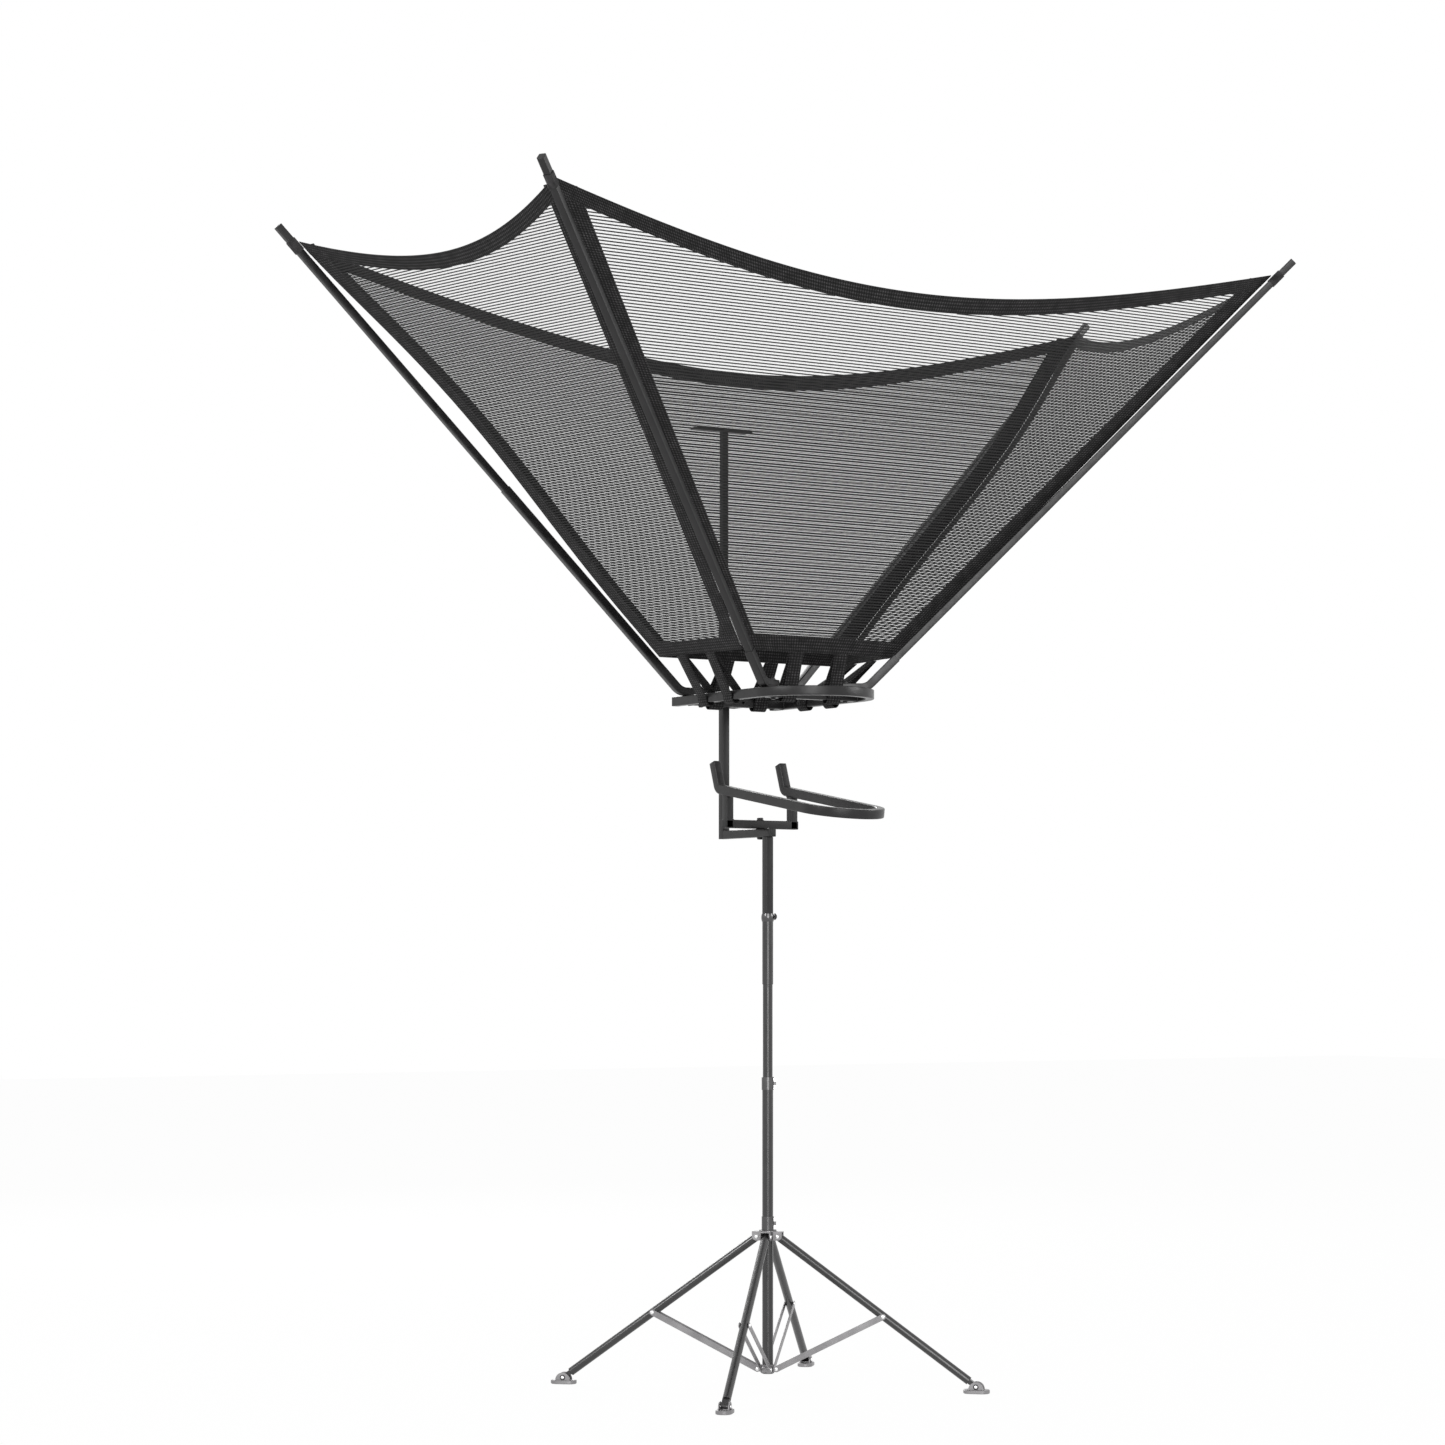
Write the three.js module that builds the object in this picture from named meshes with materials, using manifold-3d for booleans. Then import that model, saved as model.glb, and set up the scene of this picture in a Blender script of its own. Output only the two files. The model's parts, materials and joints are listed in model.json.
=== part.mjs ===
// Basketball return attachment: a four-legged folding stand, a telescoping mast, a swivelling
// return chute, and a funnel net stretched on four arms above a ring, hung from the hoop's rim.
// Millimetres, +Z up. The mast stands on the Z axis and the court lies towards -Y.
import * as THREE from 'three';
import { mergeVertices } from 'three/addons/utils/BufferGeometryUtils.js';
import Module from 'manifold-3d';

const wasm = await Module();
wasm.setup();

// General clearances and facet counts
const gap = 0.3;
const overrun = 5;
const roundFacets = 20;
const smallFacets = 8;
const bendSteps = 4;
const arcSteps = 3;
const deg = Math.PI / 180;

// Lower mast: a round tube that carries the folding legs
const lowerTubeRadius = 16.5;
const lowerTubeWall = 1.4;
const lowerTubeBottom = 45;
const lowerTubeTop = 925;

// Mast tube that telescopes out of the lower tube
const mastTubeWall = 1.4;
const mastTubeBottom = 560;
const mastTubeIntoSleeve = 23;

// Sleeve on top of the mast tube, and the square mast top that plugs into it
const sleeveTop = 1418;
const sleeveLength = 196;
const squareSide = 25.2;
const squareWall = 2;
const squareCorner = 2.2;
const spigotBelowSleeveTop = 128;
const mastTopLength = 231.7;
const spigotPlug = 4;

// Clamp collars
const collarWall = 1.6;
const midCollarLap = 22;
const midCollarRise = 17;
const hubCollarHeight = 42;
const lugReach = 6.5;
const lugThickness = 3;
const lugSlit = 2.4;
const lugMargin = 3;
const clampBoltRadius = 2.6;
const clampBoltHead = 4.4;
const clampBoltHeadHeight = 3.2;
const clampBoltShares = [0.22, 0.78];
const clampAngle = -33 * deg;
const topCollarHeight = 24;
const topCollarLap = 6;
const topCollarBulge = 2;
const knobAngle = -33 * deg;
const knobRadius = 10.5;
const knobTipRadius = 4;
const knobRim = 2.5;
const knobHeight = 8;
const knobShaftRadius = 3;

// Legs, hub and braces of the folding stand
const legCount = 4;
const legStartAngle = 45 * deg;
const legRadius = 12.5;
const legWall = 1.4;
const hubPinRadiusOut = 32;
const hubPinHeight = 460;
const footPinRadiusOut = 636;
const footPinHeight = 20;
const bracePointOnLeg = 400;
const legPlugLength = 20;
const legTongueLength = 28;
const legTongueHalfHeight = 7;
const legTongueHalfWidth = 11;
const pinRadius = 4;
const pinHoleClear = 0.4;
const rivetHeadRadius = 5.6;
const rivetHeadHeight = 2.2;
const earClear = 0.5;
const earThickness = 2.5;
const earOuter = 46;
const earBelowPin = 12;
const earInner = 18;
const hubFlangeRadius = 26;
const hubWebThickness = 2.5;
const hubFlangeThickness = 3;
const hubBushWall = 1.9;
const hubBushDrop = 10;

const bottomCollarBottom = 47;
const bottomCollarTop = 73;
const bottomCollarWall = 3.2;
const collarPinRadiusOut = 29;
const collarPinHeight = 60;
const collarEarReach = 8;
const barWidth = 18;
const barThickness = 3;

// Feet
const footLength = 80;
const footWidth = 48;
const footThickness = 12;
const footEarRadius = 23;
const footEarThickness = 3;
const footPinRadius = 3.5;

// Post behind the mast: a lower square tube with its L-bar, and a thinner one that slides in it
const postBehindMast = 241;
const postLowerAboveRing = 278;
const lBarFrontPastMast = 24;
const spigotIntoMast = 40;
const spigotSlack = 0.4;
const postUpperSide = 20.6;
const postUpperWall = 1.6;
const postUpperInsert = 182;
const hookPlateUnder = 2926;
const hookPlateLength = 200;
const hookPlateDepth = 46;
const hookPlateFront = 231;
const hookPlateThickness = 6;
const hookPlateCorner = 4;

// Ring that the ball drops through
const railWidth = 25;
const railHeight = 28;
const railWall = 2;
const railCorner = 2.5;
const ringHalfWidth = 180;
const ringMiddleHeight = 2084;
const ringBackEnd = 236;
const ringFrontBar = -222;
const ringBackBar = 172;
const ringArcSteps = 20;
const frontBarEndGap = 1.3;
const tubeEndCap = 3;
const ventRadius = 3;
const ventOffset = 60;
const postBracketWidth = 60;
const uBoltRadius = 4;
const uBoltNutRadius = 7;
const uBoltNutHeight = 6;
const uBoltTail = 3;

// Return chute and the bracket it swivels on
const chuteHalfWidth = 120;
const chuteSlope = 9.2 * deg;
const chuteAboveLBar = 106.5;
const chuteBendY = 80;
const chuteStubLean = 19 * deg;
const chuteStubLength = 84;
const chuteBendRadius = 22;
const chuteArcCentre = -378;
const chuteArcSteps = 16;
const chutePivotY = 41;
const uprightHalfSpan = 117;
const pivotBoltRadius = 5;
const pivotBoltHead = 10;
const pivotBoltHeadHeight = 8;
const pivotNutHeight = 6.5;

// Four arms that spread the net
const tipHeight = 3402;
const backTipX = 1484;
const backTipY = 313;
const frontTipX = 1312;
const frontTipY = -887;
const armBoltX = 130;
const backElbowPastBolt = 70.12178415;
const frontElbowPastBolt = 65.02601361;
const armFootPastBolt = 16;
const armBendRadius = 45;
const armLowerSide = 25;
const armWall = 1.7;
const backArmLowerReach = 820.52670889;
const frontArmLowerReach = 126.14784976;
const armUpperSide = 21;
const armUpperWall = 1.5;
const armInsert = 90;
const armFrontInsert = 60;
const armTipCap = 3;
const armBoltRadius = 3;
const armBoltHead = 6.5;
const armBoltHeadHeight = 5;

// Net panels with woven borders
const netThickness = 3;
const netTopDrop = 40;
const netBackInwards = 14;
const netBackForwards = 16;
const netFrontInwards = 24;
const hemAboveRing = 120;
const hemBackX = 325;
const hemBackY = 98;
const hemFrontX = 272;
const hemFrontY = -272;
const seamInset = 1.7;
const borderWidth = 50;
const strandWidth = 6;
const backSag = 262;
const frontSag = 168;
const sideSag = 100;
const wideHoles = 12;
const sideHoles = 9;
const holeRows = 7;

// Corner loops that hold the net to the arm tips
const cornerLoopLength = 42;
const cornerLoopFromTip = 72;
const cornerLoopWall = 2;
const cornerLoopClear = 0.5;

// Straps from the hem round the ring's rails
const strapWidth = 48;
const strapThickness = 1.6;
const strapLoopHalf = 16;
const strapLoopDrop = 24;
const strapLoopSteps = 8;
const strapSplit = 3;
const strapOverRail = 3.2;
const strapOnBar = 80;
const strapOnSide = [62, -76];
const strapHemShares = [0.27, 0.62];

// Finishes: colour, metalness and roughness
const finishes = {
  blackPaint: [0x1b1a1b, 0.5, 0.42],
  greyZinc: [0x6f6e6e, 0.8, 0.4],
  brightSteel: [0xd9d8d6, 0.9, 0.28],
  blackPlastic: [0x151515, 0.0, 0.6],
  webbing: [0x1a1818, 0.0, 0.85],
  mesh: [0x232222, 0.0, 0.8],
};

// Worked-out sizes that several pieces share
const lowerBore = lowerTubeRadius - lowerTubeWall;
const mastTubeRadius = lowerBore - gap;
const squareHalf = squareSide / 2;
const squareBoreHalf = squareHalf - squareWall;
const hubWebBottom = hubPinHeight + legRadius + earClear;
const hubTop = hubWebBottom + hubWebThickness + hubFlangeThickness;
const earInnerFace = legRadius + earClear;
const hubPoint = new THREE.Vector3(hubPinRadiusOut, 0, hubPinHeight);
const footPoint = new THREE.Vector3(footPinRadiusOut, 0, footPinHeight);
const collarPoint = new THREE.Vector3(collarPinRadiusOut, 0, collarPinHeight);
const midCollarBottom = lowerTubeTop - midCollarLap;
const midCollarTop = lowerTubeTop + midCollarRise;
const sleeveBottom = sleeveTop - sleeveLength;
const mastTubeTop = sleeveBottom + mastTubeIntoSleeve;
const spigotBottom = sleeveTop - spigotBelowSleeveTop;
const squareFoot = sleeveTop + topCollarHeight - topCollarLap + gap;
const mastTopEnd = squareFoot + mastTopLength;
const lBarBottom = mastTopEnd + gap;
const lBarTop = lBarBottom + squareSide;
const railTop = ringMiddleHeight + railHeight / 2;
const railBottom = ringMiddleHeight - railHeight / 2;
const armBaseHeight = railTop + gap + armLowerSide / 2;
const ringInner = ringHalfWidth - railWidth / 2;
const hemHeight = ringMiddleHeight + hemAboveRing;
const postLowerTop = ringMiddleHeight + postLowerAboveRing;
const postUpperBottom = postLowerTop - postUpperInsert;
const chuteHeightAtMast = lBarTop + chuteAboveLBar;

// Solids. Every shape is a three.js geometry, made a manifold only for joins and cuts.

function toSolid(geometry) {
  const bare = geometry.clone();
  bare.deleteAttribute('normal');
  bare.deleteAttribute('uv');
  const merged = mergeVertices(bare, 1e-4);
  const mesh = new wasm.Mesh({
    numProp: 3,
    vertProperties: new Float32Array(merged.attributes.position.array),
    triVerts: new Uint32Array(merged.index.array),
  });
  return new wasm.Manifold(mesh);
}

function toGeometry(solid) {
  const mesh = solid.getMesh();
  const geometry = new THREE.BufferGeometry();
  geometry.setAttribute('position', new THREE.BufferAttribute(new Float32Array(mesh.vertProperties), 3));
  geometry.setIndex(new THREE.BufferAttribute(new Uint32Array(mesh.triVerts), 1));
  const flat = geometry.toNonIndexed();
  flat.computeVertexNormals();
  return flat;
}

function joined(...shapes) {
  return shapes.map(toSolid).reduce((all, next) => all.add(next));
}

function cut(solid, ...shapes) {
  return shapes.map(toSolid).reduce((rest, next) => rest.subtract(next), solid);
}

function moved(geometry, x, y, z) {
  return geometry.translate(x, y, z);
}

// A solid of revolution about +Z, from [radius, height] pairs that end on the axis or close
function turned(profile, facets = roundFacets) {
  const points = profile.map(([r, z]) => new THREE.Vector2(r, z));
  return new THREE.LatheGeometry(points, facets).rotateX(Math.PI / 2);
}

function rod(radius, bottom, top, facets = smallFacets) {
  return turned([[0, bottom], [radius, bottom], [radius, top], [0, top]], facets);
}

function roundTube(outer, inner, bottom, top) {
  return turned([[inner, bottom], [outer, bottom], [outer, top], [inner, top], [inner, bottom]]);
}

function hexRod(radius, bottom, top) {
  return rod(radius, bottom, top, 6);
}

// A rod along Y, through the point x, z
function crossRod(radius, from, to, x, z, facets = smallFacets) {
  return moved(rod(radius, from, to, facets).rotateX(-Math.PI / 2), x, 0, z);
}

function box(x0, x1, y0, y1, z0, z1) {
  const middle = [(x0 + x1) / 2, (y0 + y1) / 2, (z0 + z1) / 2];
  return moved(new THREE.BoxGeometry(x1 - x0, y1 - y0, z1 - z0), ...middle);
}

// A rectangle whose corners are eased by a short flat, or left sharp for a bore
function section(width, height, ease = 0) {
  const x = width / 2;
  const y = height / 2;
  const corners = ease > 0
    ? [[x, y - ease], [x - ease, y], [ease - x, y], [-x, y - ease], [-x, ease - y], [ease - x, -y], [x - ease, -y], [x, ease - y]]
    : [[x, y], [-x, y], [-x, -y], [x, -y]];
  return new THREE.Shape(corners.map(([across, up]) => new THREE.Vector2(across, up)));
}

// A square bar along +Z between two heights
function prism(width, depth, ease, bottom, top) {
  const settings = { depth: top - bottom, bevelEnabled: false };
  return moved(new THREE.ExtrudeGeometry(section(width, depth, ease), settings), 0, 0, bottom);
}

// A route of straights and bends whose stations are what the sweep steps through
class BentPath extends THREE.Curve {
  constructor(stations) {
    super();
    this.stations = stations;
  }

  station(share) {
    return this.stations[Math.round(share * (this.stations.length - 1))];
  }

  getPoint(share, target = new THREE.Vector3()) {
    return target.copy(this.station(share).point);
  }

  getPointAt(share, target) {
    return this.getPoint(share, target);
  }

  getTangentAt(share, target = new THREE.Vector3()) {
    return target.copy(this.station(share).tangent);
  }
}

// Stations along corner points, each inner corner rounded to its radius
function bentPath(corners, radius, steps = bendSteps) {
  const points = corners.map((corner) => new THREE.Vector3(...corner));
  const last = points.length - 1;
  const way = (i) => points[i + 1].clone().sub(points[i]).normalize();
  const stations = [{ point: points[0], tangent: way(0) }];
  for (let i = 1; i < last; i += 1) {
    const before = way(i - 1);
    const after = way(i);
    const turn = before.angleTo(after);
    const axis = before.clone().cross(after).normalize();
    const start = points[i].clone().addScaledVector(before, -radius * Math.tan(turn / 2));
    const outward = axis.clone().cross(before).multiplyScalar(-radius);
    const centre = start.clone().sub(outward);
    for (let k = 0; k <= steps; k += 1) {
      const angle = (turn * k) / steps;
      const point = centre.clone().add(outward.clone().applyAxisAngle(axis, angle));
      stations.push({ point, tangent: before.clone().applyAxisAngle(axis, angle) });
    }
  }
  stations.push({ point: points[last], tangent: way(last - 1) });
  return stations;
}

function sweep(shape, stations) {
  const settings = {
    steps: stations.length - 1,
    extrudePath: new BentPath(stations),
    bevelEnabled: false,
    curveSegments: arcSteps,
  };
  return new THREE.ExtrudeGeometry(shape, settings);
}

// The same stations with both ends drawn in, for the bore of a tube with capped ends
function drawnIn(stations, startBy, endBy) {
  const copy = stations.map(({ point, tangent }) => ({ point: point.clone(), tangent }));
  const end = copy[copy.length - 1];
  copy[0].point.addScaledVector(copy[0].tangent, startBy);
  end.point.addScaledVector(end.tangent, -endBy);
  return copy;
}

function material(name) {
  const [color, metalness, roughness] = finishes[name];
  return new THREE.MeshStandardMaterial({ color, metalness, roughness });
}

const part = new THREE.Group();

function piece(name, shape, finish, parent = part) {
  const geometry = shape.isBufferGeometry ? toGeometry(toSolid(shape)) : toGeometry(shape);
  const mesh = new THREE.Mesh(geometry, material(finish));
  mesh.name = name;
  parent.add(mesh);
  return mesh;
}

// Mast

function mastTop() {
  const bore = prism(2 * squareBoreHalf, 2 * squareBoreHalf, 0, squareFoot + spigotPlug, mastTopEnd + overrun);
  const body = joined(
    prism(squareSide, squareSide, squareCorner, squareFoot, mastTopEnd),
    rod(mastTubeRadius, spigotBottom, squareFoot + spigotPlug / 2, roundFacets),
  );
  return cut(body, bore, rod(mastTubeRadius - squareWall, spigotBottom - overrun, squareFoot - spigotPlug, roundFacets));
}

function mast() {
  piece('lower_tube', roundTube(lowerTubeRadius, lowerBore, lowerTubeBottom, lowerTubeTop), 'blackPaint');
  const mastBore = mastTubeRadius - mastTubeWall;
  piece('mast_tube', roundTube(mastTubeRadius, mastBore, mastTubeBottom, mastTubeTop), 'blackPaint');
  piece('mast_sleeve', roundTube(lowerTubeRadius, lowerBore, sleeveBottom, sleeveTop), 'blackPaint');
  piece('mast_top', mastTop(), 'blackPaint');
}

// A split clamp collar: a stepped ring with two lugs and the two bolts that draw them together
function clampCollar(bottom, step, top, lowBore, highBore) {
  const outer = lowBore + collarWall;
  const ring = turned([
    [lowBore, bottom],
    [outer, bottom],
    [outer, top],
    [highBore, top],
    [highBore, step],
    [lowBore, step],
    [lowBore, bottom],
  ]);
  const reach = outer + lugReach;
  const lugHalf = lugSlit / 2 + lugThickness;
  const lugs = box(outer - collarWall / 2, reach, -lugHalf, lugHalf, bottom + lugMargin, top - lugMargin);
  const slit = box(highBore - lugThickness, reach + overrun, -lugSlit / 2, lugSlit / 2, bottom - overrun, top + overrun);
  let body = cut(joined(ring, lugs), slit);
  for (const share of clampBoltShares) {
    const z = bottom + share * (top - bottom);
    const x = (outer + reach) / 2;
    const headEnd = lugHalf + clampBoltHeadHeight;
    body = body.add(toSolid(crossRod(clampBoltRadius, -headEnd, headEnd, x, z)));
    body = body.add(toSolid(crossRod(clampBoltHead, lugHalf - gap, headEnd, x, z, 6)));
    body = body.add(toSolid(crossRod(clampBoltHead, -headEnd, gap - lugHalf, x, z, 6)));
  }
  return body;
}

function collars() {
  const fitBore = lowerTubeRadius + gap;
  const mid = clampCollar(midCollarBottom, lowerTubeTop + gap, midCollarTop, fitBore, mastTubeRadius + gap);
  piece('mid_collar', mid, 'blackPaint').rotation.z = clampAngle;
  const hubCollarBottom = hubTop + gap;
  const hubCollarTop = hubCollarBottom + hubCollarHeight;
  const hub = clampCollar(hubCollarBottom, hubCollarTop, hubCollarTop, fitBore, fitBore);
  piece('hub_collar', hub, 'blackPaint').rotation.z = clampAngle;

  const bottom = sleeveTop - topCollarLap;
  const top = bottom + topCollarHeight;
  const middle = (bottom + top) / 2;
  const outer = fitBore + collarWall / 2;
  const barrel = turned([
    [fitBore, bottom],
    [outer, bottom],
    [outer + topCollarBulge * 0.75, (bottom + middle) / 2],
    [outer + topCollarBulge, middle],
    [outer + topCollarBulge * 0.75, (top + middle) / 2],
    [outer, top],
    [mastTubeRadius + gap, top],
    [mastTubeRadius + gap, sleeveTop + gap],
    [fitBore, sleeveTop + gap],
    [fitBore, bottom],
  ]);
  const knobZ = sleeveTop + topCollarHeight / 2 - topCollarLap / 2;
  const shaftHole = moved(
    rod(knobShaftRadius + pinHoleClear, 0, outer + topCollarBulge + overrun).rotateY(Math.PI / 2),
    0,
    0,
    knobZ,
  );
  piece('top_collar', cut(toSolid(barrel), shaftHole), 'blackPaint').rotation.z = knobAngle;

  const seat = outer + topCollarBulge + gap;
  const knob = turned([
    [0, mastTubeRadius + gap],
    [knobShaftRadius, mastTubeRadius + gap],
    [knobShaftRadius, seat],
    [knobRadius, seat],
    [knobRadius, seat + knobRim],
    [knobTipRadius, seat + knobHeight],
    [0, seat + knobHeight],
  ], smallFacets);
  piece('top_knob', moved(knob.rotateY(Math.PI / 2), 0, 0, knobZ), 'blackPlastic').rotation.z = knobAngle;
}

// Folding stand

function earPlate(inner, outer, bottom, top, face, thickness, corner) {
  const shape = new THREE.Shape();
  shape.moveTo(inner, top);
  shape.lineTo(inner, bottom);
  shape.lineTo(outer - corner, bottom);
  shape.absarc(outer - corner, bottom + corner, corner, -Math.PI / 2, 0);
  shape.lineTo(outer, top);
  shape.closePath();
  const plate = new THREE.ExtrudeGeometry(shape, { depth: thickness, bevelEnabled: false, curveSegments: 1 });
  return moved(plate.rotateX(Math.PI / 2), 0, face + thickness, 0);
}

function rivetedPin(radius, face, x, z) {
  const end = face + rivetHeadHeight;
  const profile = [
    [0, -end],
    [rivetHeadRadius * 0.6, -end],
    [rivetHeadRadius, -face - gap / 2],
    [rivetHeadRadius, gap - face],
    [radius, gap - face],
    [radius, face - gap],
    [rivetHeadRadius, face - gap],
    [rivetHeadRadius, face + gap / 2],
    [rivetHeadRadius * 0.6, end],
    [0, end],
  ];
  return moved(turned(profile, smallFacets).rotateX(-Math.PI / 2), x, 0, z);
}

function hub() {
  const web = hubWebBottom + hubWebThickness;
  const bush = lowerTubeRadius + gap + hubBushWall;
  const shapes = [
    rod(hubFlangeRadius, web - gap, hubTop, roundFacets),
    rod(bush, hubPinHeight - hubBushDrop, hubTop, roundFacets),
  ];
  const outerFace = earInnerFace + earThickness;
  for (let i = 0; i < legCount; i += 1) {
    const angle = legStartAngle + (i * 2 * Math.PI) / legCount;
    const bottom = hubPinHeight - earBelowPin;
    const arm = [
      box(earInner, earOuter, -outerFace, outerFace, hubWebBottom, web),
      earPlate(earInner, earOuter, bottom, web, earInnerFace, earThickness, earBelowPin),
      earPlate(earInner, earOuter, bottom, web, -outerFace, earThickness, earBelowPin),
      rivetedPin(pinRadius, outerFace, hubPinRadiusOut, hubPinHeight),
    ];
    shapes.push(...arm.map((shape) => shape.rotateZ(angle)));
  }
  return cut(joined(...shapes), rod(lowerTubeRadius + gap, lowerTubeBottom, lowerTubeTop, roundFacets));
}

function bottomCollar() {
  const outer = lowerTubeRadius + gap + bottomCollarWall;
  const shapes = [rod(outer, bottomCollarBottom, bottomCollarTop, roundFacets)];
  const half = earInnerFace - earClear;
  const holes = [rod(lowerTubeRadius + gap, bottomCollarBottom - overrun, bottomCollarTop + overrun, roundFacets)];
  for (let i = 0; i < legCount; i += 1) {
    const angle = legStartAngle + (i * 2 * Math.PI) / legCount;
    const low = collarPinHeight - collarEarReach;
    const high = collarPinHeight + collarEarReach;
    const ear = box(outer - bottomCollarWall / 2, collarPinRadiusOut, -half, half, low, high);
    const nose = crossRod(collarEarReach, -half, half, collarPinRadiusOut, collarPinHeight);
    const hole = crossRod(pinRadius + pinHoleClear, -half - overrun, half + overrun, collarPinRadiusOut, collarPinHeight);
    shapes.push(ear.rotateZ(angle), nose.rotateZ(angle));
    holes.push(hole.rotateZ(angle));
  }
  return cut(joined(...shapes), ...holes);
}

// A leg along +X from its hub pin: a tube with a domed top and a flattened tongue at the foot
function legSolid(length) {
  const tubeEnd = length - legTongueLength;
  const dome = [];
  for (let i = 0; i <= bendSteps; i += 1) {
    const angle = (i * Math.PI) / 2 / bendSteps;
    dome.push([legRadius * Math.sin(angle), -legRadius * Math.cos(angle)]);
  }
  const tube = turned([...dome, [legRadius, tubeEnd], [0, tubeEnd]]).rotateY(Math.PI / 2);
  const boreStart = legRadius + legPlugLength / 2;
  const bore = rod(legRadius - legWall, boreStart, tubeEnd - legPlugLength, roundFacets).rotateY(Math.PI / 2);
  const w = legTongueHalfWidth;
  const h = legTongueHalfHeight;
  const tongue = box(tubeEnd - legPlugLength / 2, length, -w, w, -h, h);
  const nose = crossRod(h, -w, w, length, 0);
  const out = legRadius + overrun;
  return cut(
    joined(tube, tongue, nose),
    bore,
    crossRod(pinRadius + pinHoleClear, -out, out, 0, 0),
    crossRod(pinRadius + pinHoleClear, -out, out, bracePointOnLeg, 0),
    crossRod(footPinRadius + pinHoleClear, -out, out, length, 0),
  );
}

// A pair of flat bars along +X, tied by the pin at the collar and riveted beside the leg
function braceSolid(length) {
  const half = barWidth / 2;
  const shape = new THREE.Shape();
  shape.moveTo(0, -half);
  shape.lineTo(length, -half);
  shape.absarc(length, 0, half, -Math.PI / 2, Math.PI / 2);
  shape.lineTo(0, half);
  shape.absarc(0, 0, half, Math.PI / 2, 1.5 * Math.PI);
  const bar = new THREE.ExtrudeGeometry(shape, { depth: barThickness, bevelEnabled: false, curveSegments: arcSteps });
  bar.rotateX(Math.PI / 2);
  const outer = earInnerFace + barThickness;
  const shapes = [
    moved(bar.clone(), 0, outer, 0),
    moved(bar.clone(), 0, -earInnerFace, 0),
    rivetedPin(pinRadius, outer, 0, 0),
  ];
  const head = [[0, 0], [rivetHeadRadius, 0], [rivetHeadRadius, gap], [rivetHeadRadius * 0.6, rivetHeadHeight], [0, rivetHeadHeight]];
  for (const side of [-1, 1]) {
    const rivet = turned(head, smallFacets).rotateX((-side * Math.PI) / 2);
    shapes.push(moved(rivet, length, side * (outer - gap / 2), 0));
  }
  return joined(...shapes);
}

function footSolid() {
  const half = footWidth / 2;
  const straight = footLength / 2 - half;
  const sole = new THREE.Shape();
  sole.moveTo(-straight, -half);
  sole.lineTo(straight, -half);
  sole.absarc(straight, 0, half, -Math.PI / 2, Math.PI / 2);
  sole.lineTo(-straight, half);
  sole.absarc(-straight, 0, half, Math.PI / 2, 1.5 * Math.PI);
  const rim = footThickness / 6;
  const settings = {
    depth: footThickness - 2 * rim,
    bevelThickness: rim,
    bevelSize: rim,
    bevelOffset: -rim,
    bevelSegments: 1,
    curveSegments: 2 * arcSteps,
  };
  const shapes = [moved(new THREE.ExtrudeGeometry(sole, settings), 0, 0, rim)];
  const ear = new THREE.Shape();
  ear.absarc(0, footThickness, footEarRadius, 0, Math.PI);
  ear.lineTo(-footEarRadius, footThickness - rim);
  ear.lineTo(footEarRadius, footThickness - rim);
  ear.closePath();
  for (const face of [earInnerFace, -earInnerFace - footEarThickness]) {
    const plate = new THREE.ExtrudeGeometry(ear, { depth: footEarThickness, bevelEnabled: false, curveSegments: 2 * arcSteps });
    shapes.push(moved(plate.rotateX(Math.PI / 2), 0, face + footEarThickness, 0));
  }
  shapes.push(rivetedPin(footPinRadius, earInnerFace + footEarThickness, 0, footPinHeight));
  return joined(...shapes);
}

function between(from, to) {
  const along = to.clone().sub(from);
  return { length: along.length(), tilt: Math.atan2(along.z, along.x) };
}

function stand() {
  piece('leg_hub', hub(), 'greyZinc');
  piece('bottom_collar', bottomCollar(), 'greyZinc');
  const leg = between(hubPoint, footPoint);
  const onLeg = hubPoint.clone().lerp(footPoint, bracePointOnLeg / leg.length);
  const brace = between(collarPoint, onLeg);
  const legShape = legSolid(leg.length);
  const braceShape = braceSolid(brace.length);
  const footShape = footSolid();
  const names = ['right_back', 'left_back', 'left_front', 'right_front'];
  names.forEach((name, i) => {
    const side = new THREE.Group();
    side.rotation.z = legStartAngle + (i * 2 * Math.PI) / legCount;
    part.add(side);
    const legMesh = piece(`leg_${name}`, legShape, 'blackPaint', side);
    legMesh.position.copy(hubPoint);
    legMesh.rotation.y = -leg.tilt;
    const braceMesh = piece(`brace_${name}`, braceShape, 'greyZinc', side);
    braceMesh.position.copy(collarPoint);
    braceMesh.rotation.y = -brace.tilt;
    piece(`foot_${name}`, footShape, 'greyZinc', side).position.set(footPinRadiusOut, 0, 0);
  });
}

// Post, L-bar and hook plate

function postLower() {
  const y = postBehindMast;
  const rear = y + squareHalf;
  const front = -lBarFrontPastMast;
  const post = moved(prism(squareSide, squareSide, squareCorner, lBarBottom, postLowerTop), 0, y, 0);
  const bar = prism(squareSide, squareSide, squareCorner, front, rear).rotateX(-Math.PI / 2);
  moved(bar, 0, 0, lBarBottom + squareHalf);
  const spigotHalf = squareBoreHalf - spigotSlack;
  const spigot = prism(2 * spigotHalf, 2 * spigotHalf, squareCorner, lBarBottom - spigotIntoMast, lBarBottom + squareWall);
  const bore = 2 * squareBoreHalf;
  const postBore = moved(prism(bore, bore, 0, lBarBottom + squareWall, postLowerTop + overrun), 0, y, 0);
  const barBore = prism(bore, bore, 0, front + squareWall, y).rotateX(-Math.PI / 2);
  moved(barBore, 0, 0, lBarBottom + squareHalf);
  const hole = moved(rod(pivotBoltRadius + pinHoleClear, lBarBottom - overrun, lBarTop + overrun), 0, chutePivotY, 0);
  return cut(joined(post, bar, spigot), postBore, barBore, hole);
}

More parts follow.
